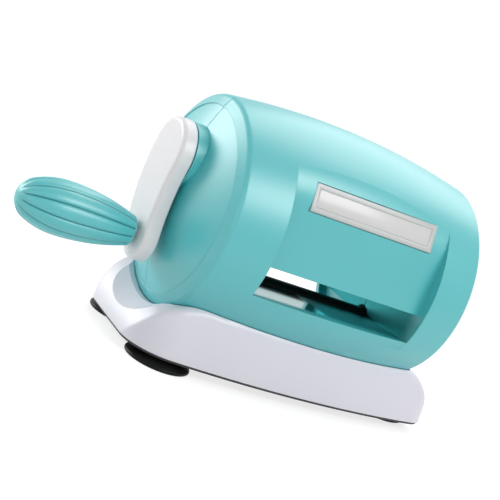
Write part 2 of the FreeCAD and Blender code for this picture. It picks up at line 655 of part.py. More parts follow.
LEFT_SHAFTS = (("roller_core", UPPER_Z), ("roller_core", LOWER_Z), ("crank_core", "crank_rise"))
side_frame("left_side_frame", "Left", FRAME_LEFT, FRAME_LEFT, LEFT_SHAFTS)
side_frame("right_side_frame", "Right", FRAME_RIGHT, FRAME_RIGHT + " + frame_thick", LEFT_SHAFTS[:2])
bush("left_upper_bush", "LeftUpperBush", "roller_core", FRAME_LEFT, UPPER_Z, True)
bush("left_lower_bush", "LeftLowerBush", "roller_core", FRAME_LEFT, LOWER_Z, True)
bush("right_upper_bush", "RightUpperBush", "roller_core", FRAME_RIGHT, UPPER_Z, False)
bush("right_lower_bush", "RightLowerBush", "roller_core", FRAME_RIGHT, LOWER_Z, False)
bush("crank_bush", "CrankBush", "crank_core", FRAME_LEFT, "crank_rise", True)


# Tie bars between the frames, with a screw in each end.

def tie_bar(i, y, z):
    inner = "%s + frame_thick" % FRAME_LEFT
    length = "(%s - (%s))" % (FRAME_RIGHT, inner)
    rod = cylinder("TieRod%d" % i, "X", "bar_radius", length, inner, y, z)
    thread = "bar_screw_radius + screw_fit"
    holes = [
        cylinder("TieThreadLeft%d" % i, "X", thread, "bar_screw_depth + screw_spare", inner, y, z),
        cylinder("TieThreadRight%d" % i, "X", thread, "bar_screw_depth + screw_spare",
                 "%s - bar_screw_depth - screw_spare" % FRAME_RIGHT, y, z),
    ]
    if "lower" in z:
        depth = "bar_radius + screw_spare + " + OVERSHOOT
        for x in ("base_screw_left", "base_screw_right"):
            holes.append(cylinder("TieFoot%d%s" % (i, x.title().replace("_", "")), "Z",
                                  "base_screw_radius + screw_fit", depth, x, y,
                                  "%s - bar_radius - %s" % (z, OVERSHOOT)))
    return cut("TieBar%d" % i, rod, holes)


finish("tie_bars", group("TieBars", [tie_bar(i, y, z) for i, (y, z) in enumerate(TIE_BARS)]))
tie_screws = []
for i, (y, z) in enumerate(TIE_BARS):
    shank = "frame_thick + bar_screw_depth"
    tie_screws.append(screw("TieScrewLeft%d" % i, "X", "bar_screw_radius", shank, FRAME_LEFT, y, z, True))
    tie_screws.append(screw("TieScrewRight%d" % i, "X", "bar_screw_radius", shank,
                            "%s - bar_screw_depth" % FRAME_RIGHT, y, z, False))
finish("tie_bar_screws", group("TieBarScrews", tie_screws))


# Gears with involute flanks. A tooth, or with half_turn a gap, points straight down or up at rest.

DEDENDUM = 1.25  # depth of the tooth gaps below the pitch circle, in modules
ROOT_STEP = 0.1  # straight foot of a tooth above the root circle, in modules
FLANK_POINTS = 5  # points that each involute flank is drawn through

def involute(angle):
    return math.tan(angle) - angle


def gear_outline(teeth):
    """Closed wire of one gear round the origin of the YZ plane, with a tooth at the top."""
    module = size["gear_module"]
    pressure = math.radians(size["pressure_angle"])
    pitch = module * teeth / 2
    base = pitch * math.cos(pressure)
    tip = pitch + module
    root = pitch - DEDENDUM * module
    half_tooth = math.pi / (2 * teeth) - size["gear_backlash"] / (4 * pitch)
    flank_start = max(base, root + ROOT_STEP * module)
    flank_rise = (tip - flank_start) / (FLANK_POINTS - 1)

    def flank_point(radius):
        spread = half_tooth + involute(pressure) - involute(math.acos(min(1.0, base / radius)))
        return radius, spread

    flank = [flank_point(flank_start + flank_rise * i) for i in range(FLANK_POINTS)]

    def point(radius, angle):
        return Vector(0, radius * math.sin(angle), radius * math.cos(angle))

    edges = []
    step = 2 * math.pi / teeth
    for tooth in range(int(teeth)):
        middle = tooth * step
        rise = [point(r, middle - a) for r, a in flank]
        fall = [point(r, middle + a) for r, a in reversed(flank)]
        foot = flank[0][1]
        edges.append(Part.makeLine(point(root, middle - foot), rise[0]))
        for side in (rise, fall):
            curve = Part.BSplineCurve()
            curve.interpolate(side)
            edges.append(curve.toShape())
        edges.insert(-1, Part.Arc(rise[-1], point(tip, middle), fall[0]).toShape())
        edges.append(Part.makeLine(fall[-1], point(root, middle + foot)))
        edges.append(Part.Arc(point(root, middle + foot), point(root, middle + step / 2),
                              point(root, middle + step - foot)).toShape())
    return Part.Wire(edges)


def gear(label, tag, teeth, core, x, z, half_turn):
    """Gear on a shaft; its toothed blank is drawn by formula and its bore is cut to the shaft."""
    blank = doc.addObject("Part::Feature", tag + "Blank")
    blank.Shape = Part.Face(gear_outline(size[teeth])).extrude(Vector(size["gear_width"], 0, 0))
    blank.Placement.Rotation = Rotation(Vector(1, 0, 0), 180 / size[teeth] if half_turn else 0)
    place(blank, x, "0", z)
    bore = cylinder(tag + "Bore", "X", "%s + seat_fit" % core, "gear_width + 2 * " + OVERSHOOT,
                    "%s - %s" % (x, OVERSHOOT), "0", z)
    return finish(label, cut(tag, blank, [bore]))


def points_down(teeth):
    """An even count has a tooth below as well as above; an odd count has a gap there."""
    return int(size[teeth]) % 2 == 0


gear("crank_pinion", "CrankPinion", "pinion_teeth", "crank_core", DRIVE_LEFT, "crank_rise",
     not points_down("pinion_teeth"))
gear("drive_gear", "DriveGear", "drive_teeth", "roller_core", DRIVE_LEFT, UPPER_Z, True)
gear("upper_coupling_gear", "UpperCoupling", "coupling_teeth", "roller_core", COUPLING_LEFT, UPPER_Z,
     not points_down("coupling_teeth"))
gear("lower_coupling_gear", "LowerCoupling", "coupling_teeth", "roller_core", COUPLING_LEFT, LOWER_Z, True)


# Shafts with a clip in a groove at the right end, and the sleeves that grip the cutting plates.

def clipped_shaft(label, tag, core, start, end, clip_at, z):
    rod = cylinder(tag + "Rod", "X", core, "(%s) - (%s)" % (end, start), start, "0", z)
    ring_out = cylinder(tag + "GrooveOut", "X", "%s + %s" % (core, OVERSHOOT), "clip_thick + 2 * seat_fit",
                        "%s - seat_fit" % clip_at, "0", z)
    ring_in = cylinder(tag + "GrooveIn", "X", "%s - clip_groove" % core, "3 * clip_thick",
                       "%s - clip_thick" % clip_at, "0", z)
    finish(label, cut(tag, rod, [cut(tag + "Groove", ring_out, [ring_in])]))
    clip_label = label.replace("shaft", "clip")
    rim = cylinder(tag + "ClipRim", "X", "%s + clip_rim" % core, "clip_thick", clip_at, "0", z)
    eye = cylinder(tag + "ClipEye", "X", "%s - clip_groove + seat_fit" % core, "3 * clip_thick",
                   "%s - clip_thick" % clip_at, "0", z)
    finish(clip_label, cut(tag + "Clip", rim, [eye]))


RIGHT_OUTER = "%s + frame_thick + bush_flange" % FRAME_RIGHT
ROLLER_END = "%s + shaft_tail" % RIGHT_OUTER
ROLLER_CLIP = "%s + gear_gap" % RIGHT_OUTER
clipped_shaft("upper_roller_shaft", "UpperShaft", "roller_core", "%s - gear_gap" % DRIVE_LEFT, ROLLER_END,
              ROLLER_CLIP, UPPER_Z)
clipped_shaft("lower_roller_shaft", "LowerShaft", "roller_core", "%s - gear_gap" % COUPLING_LEFT, ROLLER_END,
              ROLLER_CLIP, LOWER_Z)
FRAME_INNER = "%s + frame_thick" % FRAME_LEFT
clipped_shaft("crank_shaft", "CrankShaft", "crank_core", "-collar_reach - arm_gap - socket_depth",
              "%s + shaft_tail" % FRAME_INNER, "%s + gear_gap" % FRAME_INNER, "crank_rise")


def roller_sleeve(label, tag, z):
    length = "slot_width + 2 * sleeve_overlap"
    tube = cylinder(tag + "Tube", "X", "roller_radius", length, "-sleeve_overlap", "0", z)
    bore = cylinder(tag + "Bore", "X", "roller_core + seat_fit", "%s + 2 * %s" % (length, OVERSHOOT),
                    "-sleeve_overlap - " + OVERSHOOT, "0", z)
    finish(label, cut(tag, tube, [bore]))


roller_sleeve("upper_roller_sleeve", "UpperSleeve", UPPER_Z)
roller_sleeve("lower_roller_sleeve", "LowerSleeve", LOWER_Z)


# The collar: a round boss that follows the dome outside and ends in a spigot through the case.
collar_boss = cylinder("CollarBoss", "X", "collar_radius", "dome_reach", "-collar_reach", "0", "crank_rise")
collar_flange = cut("CollarFlange", collar_boss, [outside])
collar_spigot = cylinder("CollarSpigot", "X", "collar_spigot", "collar_reach - collar_inner",
                         "-collar_reach", "0", "crank_rise")
collar_bore = cylinder("CollarBore", "X", "crank_core + running_fit", "dome_reach",
                       "-collar_reach - " + OVERSHOOT, "0", "crank_rise")
finish("crank_collar", cut("CrankCollar", fuse("CollarForm", [collar_flange, collar_spigot]), [collar_bore]))


# The crank arm: a bean outline of four tangent arcs, with sockets for the shaft and the spindle.

def crank_arm():
    s = size
    body = new_body("ArmForm")
    sketch = sketch_on(body, "YZ_Plane")
    hub = Vector(0, s["crank_rise"], 0)
    lobe = Vector(-s["grip_forward"], s["crank_rise"] - s["crank_throw"], 0)
    along = (lobe - hub).normalize()
    across = Vector(along.y, -along.x, 0)
    spacing = (lobe - hub).Length

    def flank(hub_reach, lobe_reach):
        """Centre of a flank arc in front of the arm, from its distances to the two end centres."""
        run = (spacing ** 2 + hub_reach ** 2 - lobe_reach ** 2) / (2 * spacing)
        return hub + along * run + across * math.sqrt(hub_reach ** 2 - run ** 2)

    def part_of_circle(centre, radius, start, end):
        first = math.atan2(start.y - centre.y, start.x - centre.x)
        last = math.atan2(end.y - centre.y, end.x - centre.x)
        circle = Part.Circle(centre, Vector(0, 0, 1), radius)
        return sketch.addGeometry(Part.ArcOfCircle(circle, first, last), False)

    waist = flank(s["waist_radius"] + s["hub_radius"], s["waist_radius"] + s["lobe_radius"])
    spine = flank(s["spine_radius"] - s["hub_radius"], s["spine_radius"] - s["lobe_radius"])
    waist_hub = hub + (waist - hub).normalize() * s["hub_radius"]
    waist_lobe = lobe + (waist - lobe).normalize() * s["lobe_radius"]
    spine_hub = hub - (spine - hub).normalize() * s["hub_radius"]
    spine_lobe = lobe - (spine - lobe).normalize() * s["lobe_radius"]
    top = part_of_circle(hub, s["hub_radius"], spine_hub, waist_hub)
    hollow = part_of_circle(waist, s["waist_radius"], waist_lobe, waist_hub)
    foot = part_of_circle(lobe, s["lobe_radius"], waist_lobe, spine_lobe)
    full = part_of_circle(spine, s["spine_radius"], spine_lobe, spine_hub)
    tie(sketch, "Tangent", top, END, hollow, END)
    tie(sketch, "Tangent", hollow, START, foot, START)
    tie(sketch, "Tangent", foot, END, full, START)
    tie(sketch, "Tangent", full, END, top, START)
    tie(sketch, "PointOnObject", top, CENTRE, UPRIGHT_AXIS)
    measure(sketch, "DistanceY", "crank_rise", *ORIGIN, top, CENTRE, hub.y)
    measure(sketch, "DistanceX", "-grip_forward", *ORIGIN, foot, CENTRE, lobe.x)
    measure(sketch, "DistanceY", GRIP_Z, *ORIGIN, foot, CENTRE, lobe.y)
    measure(sketch, "Radius", "hub_radius", top, s["hub_radius"])
    measure(sketch, "Radius", "lobe_radius", foot, s["lobe_radius"])
    measure(sketch, "Radius", "waist_radius", hollow, s["waist_radius"])
    measure(sketch, "Radius", "spine_radius", full, s["spine_radius"])
    pad = body.newObject("PartDesign::Pad", "ArmPad")
    pad.Profile = sketch
    bind(pad, Length="arm_thick")
    fillet(body, "ArmEdge", "arm_round", lambda edge: edge.BoundBox.XMax < SAME_PLACE)
    fillet(body, "ArmInnerEdge", "arm_inner_round",
           lambda edge: edge.BoundBox.XMin > s["arm_thick"] - SAME_PLACE)
    place(body, ARM_OUTER)
    socket_start = "-collar_reach - arm_gap - socket_depth"
    sockets = [
        cylinder("ShaftSocket", "X", "crank_core + seat_fit", "arm_thick", socket_start, "0", "crank_rise"),
        cylinder("SpindleSocket", "X", "spindle_core + seat_fit", "arm_thick", "%s + socket_depth - arm_thick"
                 % ARM_OUTER, "-grip_forward", GRIP_Z),
    ]
    finish("crank_arm", cut("CrankArm", body, sockets))


crank_arm()


# The grip and its spindle. The spindle's head sits in a chamber inside the grip and keeps it on.

GRIP_INNER = "(%s - grip_gap)" % ARM_OUTER
HEAD_END = "(%s - spindle_reach)" % GRIP_INNER


def grip_outline(sketch):
    """Half outline from the inner end: a long side arc, a shoulder and a nose."""
    s = size
    belly = (s["grip_belly"], s["grip_radius"])
    side_centre = (s["grip_belly"], s["grip_radius"] - s["grip_side_arc"])
    tip_centre = (s["grip_belly"], s["grip_radius"] - s["grip_tip_arc"])
    side_angle = math.acos(-s["grip_belly"] / s["grip_side_arc"])
    side_points = arc_points(side_centre, s["grip_side_arc"], side_angle, math.pi / 2)
    nose_centre = (s["grip_length"] - s["grip_nose"], 0)
    meet_angle = math.atan2(s["grip_drop"], nose_centre[0] - tip_centre[0])
    tip_points = arc_points(tip_centre, s["grip_tip_arc"], math.pi / 2, meet_angle)
    nose_points = arc_points(nose_centre, s["grip_nose"], meet_angle, 0)
    face = line(sketch, (0, 0), side_points[0])
    side = arc(sketch, *side_points)
    shoulder = arc(sketch, *tip_points)
    end = arc(sketch, *nose_points)
    core = line(sketch, nose_points[2], (0, 0))
    tie(sketch, "Coincident", face, START, *ORIGIN)
    tie(sketch, "Vertical", face)
    tie(sketch, "Coincident", face, END, side, END)
    tie(sketch, "Coincident", side, START, shoulder, END)
    tie(sketch, "Tangent", shoulder, START, end, END)
    tie(sketch, "Coincident", end, START, core, START)
    tie(sketch, "Coincident", core, END, *ORIGIN)
    tie(sketch, "PointOnObject", end, CENTRE, FLAT_AXIS)
    tie(sketch, "PointOnObject", end, START, FLAT_AXIS)
    measure(sketch, "DistanceX", "grip_belly", *ORIGIN, side, START, belly[0])
    measure(sketch, "DistanceY", "grip_radius", *ORIGIN, side, START, belly[1])
    measure(sketch, "DistanceX", "grip_belly", *ORIGIN, side, CENTRE, belly[0])
    measure(sketch, "DistanceX", "grip_belly", *ORIGIN, shoulder, CENTRE, belly[0])
    measure(sketch, "Radius", "grip_side_arc", side, s["grip_side_arc"])
    measure(sketch, "Radius", "grip_tip_arc", shoulder, s["grip_tip_arc"])
    measure(sketch, "DistanceX", "grip_length", *ORIGIN, end, START, s["grip_length"])


def groove_outline(sketch):
    """Strip just below the grip's outline, open to the outside."""
    s = size
    start = s["groove_start"]
    stop = s["grip_length"] - s["groove_end"]
    high = s["grip_radius"] + s["groove_depth"]
    side = s["grip_side_arc"] - s["groove_depth"]
    shoulder = s["grip_tip_arc"] - s["groove_depth"]
    nose = s["grip_nose"] - s["groove_depth"]
    side_centre = (s["grip_belly"], s["grip_radius"] - s["grip_side_arc"])
    tip_centre = (s["grip_belly"], s["grip_radius"] - s["grip_tip_arc"])
    nose_centre = (s["grip_length"] - s["grip_nose"], 0)
    meet_angle = math.atan2(s["grip_drop"], nose_centre[0] - tip_centre[0])
    side_points = arc_points(side_centre, side, math.acos((start - s["grip_belly"]) / side), math.pi / 2)
    tip_points = arc_points(tip_centre, shoulder, math.pi / 2, meet_angle)
    nose_points = arc_points(nose_centre, nose, meet_angle, math.acos((stop - nose_centre[0]) / nose))
    inner = line(sketch, (start, high), side_points[0])
    long_run = arc(sketch, *side_points)
    short_run = arc(sketch, *tip_points)
    nose_run = arc(sketch, *nose_points)
    outer = line(sketch, nose_points[2], (stop, high))
    lid = line(sketch, (stop, high), (start, high))
    tie(sketch, "Coincident", inner, END, long_run, END)
    tie(sketch, "Coincident", long_run, START, short_run, END)
    tie(sketch, "Tangent", short_run, START, nose_run, END)
    tie(sketch, "Coincident", nose_run, START, outer, START)
    tie(sketch, "PointOnObject", nose_run, CENTRE, FLAT_AXIS)
    tie(sketch, "Coincident", outer, END, lid, START)
    tie(sketch, "Coincident", lid, END, inner, START)
    tie(sketch, "Vertical", inner)
    tie(sketch, "Vertical", outer)
    tie(sketch, "Horizontal", lid)
    measure(sketch, "DistanceX", "groove_start", *ORIGIN, inner, START, start)
    measure(sketch, "DistanceX", "grip_length - groove_end", *ORIGIN, outer, END, stop)
    measure(sketch, "DistanceY", "grip_radius + groove_depth", *ORIGIN, inner, START, high)
    measure(sketch, "DistanceX", "grip_belly", *ORIGIN, long_run, CENTRE, s["grip_belly"])
    measure(sketch, "DistanceX", "grip_belly", *ORIGIN, short_run, CENTRE, s["grip_belly"])
    measure(sketch, "DistanceX", "grip_belly", *ORIGIN, long_run, START, s["grip_belly"])
    measure(sketch, "DistanceY", "grip_radius - groove_depth", *ORIGIN, long_run, START,
            s["grip_radius"] - s["groove_depth"])
    measure(sketch, "Radius", "grip_side_arc - groove_depth", long_run, side)
    measure(sketch, "Radius", "grip_tip_arc - groove_depth", short_run, shoulder)
    measure(sketch, "Radius", "grip_nose - groove_depth", nose_run, nose)


def grip():
    body = new_body("GripForm")
    profile = sketch_on(body, "XZ_Plane")
    grip_outline(profile)
    revolve(body, profile, "H_Axis")
    doc.recompute()
    strip = sketch_on(body, "XZ_Plane")
    groove_outline(strip)
    groove = body.newObject("PartDesign::Pocket", "GripGroove")
    groove.Profile = strip
    groove.SideType = "Symmetric"
    bind(groove, Length="groove_width")
    doc.recompute()
    ring = body.newObject("PartDesign::PolarPattern", "GripGrooves")
    ring.Originals = [groove]
    ring.Axis = (strip, ["H_Axis"])
    ring.Angle = 360
    bind(ring, Occurrences="groove_count")
    body.Tip = ring
    doc.recompute()
    body.Placement.Rotation = Rotation(Vector(0, 0, 1), 180)
    place(body, GRIP_INNER, "-grip_forward", GRIP_Z)
    bore = cylinder("GripBore", "X", "spindle_core + running_fit", "spindle_reach + " + OVERSHOOT, HEAD_END,
                    "-grip_forward", GRIP_Z)
    room = cylinder("GripRoom", "X", "spindle_core + spindle_head + spindle_play",
                    "spindle_head_length + 2 * spindle_play",
                    "%s - spindle_head_length - spindle_play" % HEAD_END, "-grip_forward", GRIP_Z)
    finish("grip", cut("Grip", body, [bore, room]))


grip()
spindle_rod = cylinder("SpindleRod", "X", "spindle_core", "spindle_reach + grip_gap + socket_depth", HEAD_END,
                       "-grip_forward", GRIP_Z)
spindle_head = cylinder("SpindleHead", "X", "spindle_core + spindle_head", "spindle_head_length",
                        "%s - spindle_head_length" % HEAD_END, "-grip_forward", GRIP_Z)
finish("grip_spindle", fuse("GripSpindle", [spindle_rod, spindle_head]))


# The base: long bowed walls that lean in, rounded corners and a cradle for the barrel.

def rounded_ends(name, inset):
    """Block with the base's two ends rounded over, seen from the side; inset is formula and size."""
    text, depth = inset
    body = new_body(name)
    sketch = sketch_on(body, "XZ_Plane")
    low = -size["base_bottom"]
    high = -size["base_top"] - depth
    radius = size["base_end_arc"] - depth
    centre_height = -size["base_top"] - size["base_end_arc"]
    reach = math.sqrt(size["base_end_arc"] ** 2 - (low - centre_height) ** 2)
    right_centre = (size["base_right"] - reach, centre_height)
    left_centre = (reach - size["base_left"], centre_height)
    foot = math.asin((low - centre_height) / radius)
    right_round = arc_points(right_centre, radius, foot, math.pi / 2)
    left_round = arc_points(left_centre, radius, math.pi / 2, math.pi - foot)
    floor = line(sketch, left_round[2], right_round[0])
    right_arc = arc(sketch, *right_round)
    roof = line(sketch, (right_centre[0], high), (left_centre[0], high))
    left_arc = arc(sketch, *left_round)
    tie(sketch, "Coincident", floor, END, right_arc, START)
    tie(sketch, "Tangent", right_arc, END, roof, START)
    tie(sketch, "Tangent", roof, END, left_arc, START)
    tie(sketch, "Coincident", left_arc, END, floor, START)
    tie(sketch, "Horizontal", floor)
    tie(sketch, "Horizontal", roof)
    tie(sketch, "Equal", left_arc, right_arc)
    span = "sqrt(base_end_arc ^ 2 - (base_end_arc + base_top - base_bottom) ^ 2)"
    measure(sketch, "DistanceX", "base_right - " + span, *ORIGIN, right_arc, CENTRE, right_centre[0])
    measure(sketch, "DistanceX", span + " - base_left", *ORIGIN, left_arc, CENTRE, left_centre[0])
    measure(sketch, "DistanceY", "-base_bottom", *ORIGIN, floor, START, low)
    measure(sketch, "DistanceY", "-base_top - (%s)" % text, *ORIGIN, roof, START, high)
    measure(sketch, "Radius", "base_end_arc - (%s)" % text, right_arc, radius)
    pad = body.newObject("PartDesign::Pad", name + "Pad")
    pad.Profile = sketch
    pad.SideType = "Symmetric"
    bind(pad, Length="4 * base_side")
    return body


def footprint(name, inset, bottom, height, leaning):
    """Block with the base's outline seen from above, set in; its long walls may lean."""
    sides = [box(name + "Ends", "base_left + base_right - 2 * (%s)" % inset, "4 * base_side", height,
                 "-base_left + (%s)" % inset, "-2 * base_side", bottom)]
    for tag, sign in (("Front", ""), ("Rear", "-")):
        if leaning:
            wall = doc.addObject("Part::Cone", name + tag)
            bind(wall, Radius1="base_arc - (%s)" % inset, Radius2="base_arc - (%s) - base_side_lean" % inset,
                 Height=height)
        else:
            wall = cylinder(name + tag, "Z", "base_arc - (%s)" % inset, height)
        place(wall, "base_belly", "%s(base_arc - base_side)" % sign, bottom)
        sides.append(wall)
    block = common(name + "Block", sides)
    body = new_body(name)
    doc.recompute()
    body.BaseFeature = block
    middle = size["base_belly"]

    def corner(edge):
        return edge.BoundBox.ZLength > 0.5 * block.Shape.BoundBox.ZLength

    fillet(body, name + "LeftCorners", "base_left_corner - (%s)" % inset,
           lambda edge: corner(edge) and edge.CenterOfMass.x < middle)
    fillet(body, name + "RightCorners", "base_right_corner - (%s)" % inset,
           lambda edge: corner(edge) and edge.CenterOfMass.x > middle and len(edge.Vertexes) == 2
           and edge.CenterOfMass.x > size["base_right"] - 2 * size["base_right_corner"])
    return body


BASE_HEIGHT = "base_bottom - base_top"


def base_block(name, inset):
    plan = footprint(name + "Plan", inset[0], "-base_bottom", BASE_HEIGHT, True)
    return common(name, [plan, rounded_ends(name + "Side", inset)])


def left_bay(name, radius):
    """Room past the barrel's left end: a cylinder below the end and a cone that widens to the left."""
    below = cylinder(name + "Below", "X", radius, "barrel_edge", "-barrel_left - base_gap")
    flare = doc.addObject("Part::Cone", name + "Flare")
    flare.Placement.Rotation = AXIS_TURNS["X"]
    bind(flare, Radius1="%s + cradle_flare * base_left" % radius, Radius2=radius, Height="base_left")
    place(flare, "-barrel_left - base_gap - base_left")
    return [below, flare]


base_block_form = base_block("BaseBlock", ("0", 0.0))
base_form = new_body("BaseForm")
doc.recompute()
base_form.BaseFeature = base_block_form
fillet(base_form, "BaseTopEdges", "base_edge",
       lambda edge: edge.BoundBox.ZMin > size["plate_thick"] - size["base_bottom"])
base_room = base_block("BaseRoom", ("base_wall", size["base_wall"]))
CRADLE_RADIUS = "(left_radius + base_gap)"
room_below = cut("RoomBelow", base_room, [deck] + left_bay("DeckBay", "(%s + base_wall)" % CRADLE_RADIUS))
PLATE_CORNERS = (("plate_left", "plate_left_side"), ("plate_right", "plate_right_side"))
PLATE_SCREWS = tuple((x, sign + y) for x, y in PLATE_CORNERS for sign in ("-", ""))
base_posts = []
base_holes = []
for i, (x, y) in enumerate(PLATE_SCREWS):
    base_posts.append(cylinder("PlatePost%d" % i, "Z", "post_radius", BASE_HEIGHT + " - base_edge", x, y,
                               "-base_bottom"))
    base_holes.append(cylinder("PlateBore%d" % i, "Z", "plate_screw_radius + screw_fit",
                               "plate_screw_depth + screw_spare", x, y, "-base_bottom"))
for i, (x, y) in enumerate(BASE_SCREWS):
    base_posts.append(cylinder("BasePost%d" % i, "Z", "post_radius + base_wall / 2",
                               "base_screw_seat - base_top", x, y, "-base_screw_seat"))
    base_holes.append(cylinder("BaseBore%d" % i, "Z", "base_screw_radius + screw_fit", "base_screw_seat",
                               x, y, "-base_screw_seat - " + OVERSHOOT))
base_shell = cut("BaseShell", base_form, [room_below])
base_solid = common("BaseSolid", [fuse("BaseWalls", [base_shell] + base_posts), base_form])
finish("base", cut("Base", base_solid, [cradle] + left_bay("CradleBay", CRADLE_RADIUS) + base_holes))
base_screws = [screw("BaseScrew%d" % i, "Z", "base_screw_radius", "base_screw_seat - lower_bar_drop", x, y,
                     "-base_screw_seat", True) for i, (x, y) in enumerate(BASE_SCREWS)]
finish("base_screws", group("BaseScrews", base_screws))


# The bottom plate, its screws and the suction cups that hang from it.

CUPS = (
    ("front_left_suction_cup", "-cup_left", "-cup_side"),
    ("rear_left_suction_cup", "-cup_left", "cup_side"),
    ("right_suction_cup", "cup_right", "-cup_front"),
)
plate_form = footprint("PlateForm", "plate_inset", PLATE_BOTTOM, "plate_thick", False)
plate_holes = [cylinder("PlateHole%d" % i, "Z", "plate_screw_radius + screw_fit", "3 * plate_thick", x, y,
                        PLATE_BOTTOM + " - plate_thick") for i, (x, y) in enumerate(PLATE_SCREWS)]
plate_holes += [cylinder("CupHole%d" % i, "Z", "cup_stem + seat_fit", "3 * plate_thick", x, y,
                         PLATE_BOTTOM + " - plate_thick") for i, (label, x, y) in enumerate(CUPS)]
finish("bottom_plate", cut("BottomPlate", plate_form, plate_holes))
plate_screws = [screw("PlateScrew%d" % i, "Z", "plate_screw_radius", "plate_thick + plate_screw_depth", x, y,
                      PLATE_BOTTOM, True) for i, (x, y) in enumerate(PLATE_SCREWS)]
finish("plate_screws", group("PlateScrews", plate_screws))


def suction_cup(label, tag, x, y):
    """Flared rubber cup with a flat rim, a hollow below and a stem that snaps through the bottom plate."""
    s = size
    body = new_body(tag)
    sketch = sketch_on(body, "XZ_Plane")
    plate = s["axis_height"] - s["base_bottom"] - s["plate_thick"]
    above = plate + s["plate_thick"]
    knob_top = above + s["cup_knob_height"]
    bevel = s["cup_bevel"]
    corners = (
        ("0", 0, "cup_hollow", s["cup_hollow"]),
        ("cup_radius - cup_rim", s["cup_radius"] - s["cup_rim"], "0", 0),
        ("cup_radius - cup_bevel", s["cup_radius"] - bevel, "0", 0),
        ("cup_radius", s["cup_radius"], "cup_bevel", bevel),
        ("cup_radius", s["cup_radius"], "cup_lip - cup_bevel", s["cup_lip"] - bevel),
        ("cup_neck", s["cup_neck"], "cup_lip + cup_bevel", s["cup_lip"] + bevel),
        ("cup_neck", s["cup_neck"], "axis_height - base_bottom - plate_thick", plate),
        ("cup_stem", s["cup_stem"], "axis_height - base_bottom - plate_thick", plate),
        ("cup_stem", s["cup_stem"], "axis_height - base_bottom", above),
        ("cup_knob", s["cup_knob"], "axis_height - base_bottom", above),
        ("cup_knob", s["cup_knob"], "axis_height - base_bottom + cup_knob_height", knob_top),
        ("0", 0, "axis_height - base_bottom + cup_knob_height", knob_top),
    )
    spots = [(corner[1], corner[3]) for corner in corners]
    runs = [line(sketch, spot, spots[(i + 1) % len(spots)]) for i, spot in enumerate(spots)]
    for i, run in enumerate(runs):
        tie(sketch, "Coincident", run, END, runs[(i + 1) % len(runs)], START)
        x_text, x_size, z_text, z_size = corners[i]
        if x_text == "0":
            tie(sketch, "PointOnObject", run, START, UPRIGHT_AXIS)
        else:
            measure(sketch, "DistanceX", x_text, *ORIGIN, run, START, x_size)
        if z_text == "0":
            tie(sketch, "PointOnObject", run, START, FLAT_AXIS)
        else:
            measure(sketch, "DistanceY", z_text, *ORIGIN, run, START, z_size)
    revolve(body, sketch, "V_Axis")
    place(body, x, y, "-axis_height")
    finish_alone(label, body)


for label, x, y in CUPS:
    suction_cup(label, "Cup" + label.title().replace("_", ""), x, y)

doc.recompute()

# Nothing is written unless every object and every piece is sound.
for item in doc.Objects:
    if "Invalid" in item.State or "Error" in item.State:
        raise RuntimeError("%s failed: %s" % (item.Name, item.State))
for label, item in parts.items():
    shape = item.Shape
    if shape.isNull() or not shape.isValid() or not shape.Solids:
        raise RuntimeError("%s has no sound shape" % label)
os.makedirs("parts", exist_ok=True)
for label, item in parts.items():
    item.Shape.exportStep("parts/%s.step" % label)
    print("%-26s %d solids %10.1f mm3" % (label, len(item.Shape.Solids), item.Shape.Volume))
whole = Part.makeCompound([item.Shape for item in parts.values()])
print("box", whole.BoundBox)
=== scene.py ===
# %% [markdown]
# # A small hand-cranked die cutting machine
# The machine was first built as solids in CAD. This lesson loads those solids as a fixed frame, gives
# each of them a finish, softens the pieces that the eye lands on, and lights the whole thing as a plain
# studio photograph. Blender works in metres here, Z is up, and the origin is on the table. Small sizes
# are written in millimetres, which is easier to read, and are multiplied by MM.

# %% Load the frame
import json
import math
import bmesh
import bpy
from mathutils import Matrix, Vector


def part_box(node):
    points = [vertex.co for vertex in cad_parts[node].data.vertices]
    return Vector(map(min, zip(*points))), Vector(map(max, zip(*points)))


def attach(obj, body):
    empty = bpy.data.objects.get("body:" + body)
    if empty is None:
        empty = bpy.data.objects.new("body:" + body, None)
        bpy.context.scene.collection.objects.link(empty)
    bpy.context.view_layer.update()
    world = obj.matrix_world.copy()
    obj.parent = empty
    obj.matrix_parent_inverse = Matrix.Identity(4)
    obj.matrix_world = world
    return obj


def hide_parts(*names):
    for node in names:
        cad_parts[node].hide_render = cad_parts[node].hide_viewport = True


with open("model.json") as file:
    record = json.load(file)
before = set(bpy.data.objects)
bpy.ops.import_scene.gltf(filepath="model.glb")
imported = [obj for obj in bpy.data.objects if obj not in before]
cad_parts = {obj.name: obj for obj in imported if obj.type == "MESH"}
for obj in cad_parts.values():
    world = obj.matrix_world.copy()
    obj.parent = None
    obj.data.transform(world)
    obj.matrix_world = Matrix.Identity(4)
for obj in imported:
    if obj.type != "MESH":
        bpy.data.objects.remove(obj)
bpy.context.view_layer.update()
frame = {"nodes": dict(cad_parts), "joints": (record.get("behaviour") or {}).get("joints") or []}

nodes = frame["nodes"]
MM = 0.001

# %% [markdown]
# ## The camera
# The photograph was taken with a long lens from the front left, a little above the machine, and the
# picture was then turned, so the machine climbs to the left. A camera is just a place and three
# directions: right, up and back. We build the directions from an azimuth, an elevation and a roll, which
# is easier to adjust by hand than a set of Euler angles.

# %% Camera
AZIMUTH = math.radians(-28.475)
ELEVATION = math.radians(10.79)
ROLL = math.radians(24.292)
DISTANCE = 0.7583
AIM = Vector((0.00568, 0.0076, 0.05404))
LENS = 116.23
SENSOR = 36.0
CLIP_NEAR = 0.01
CLIP_FAR = 50.0

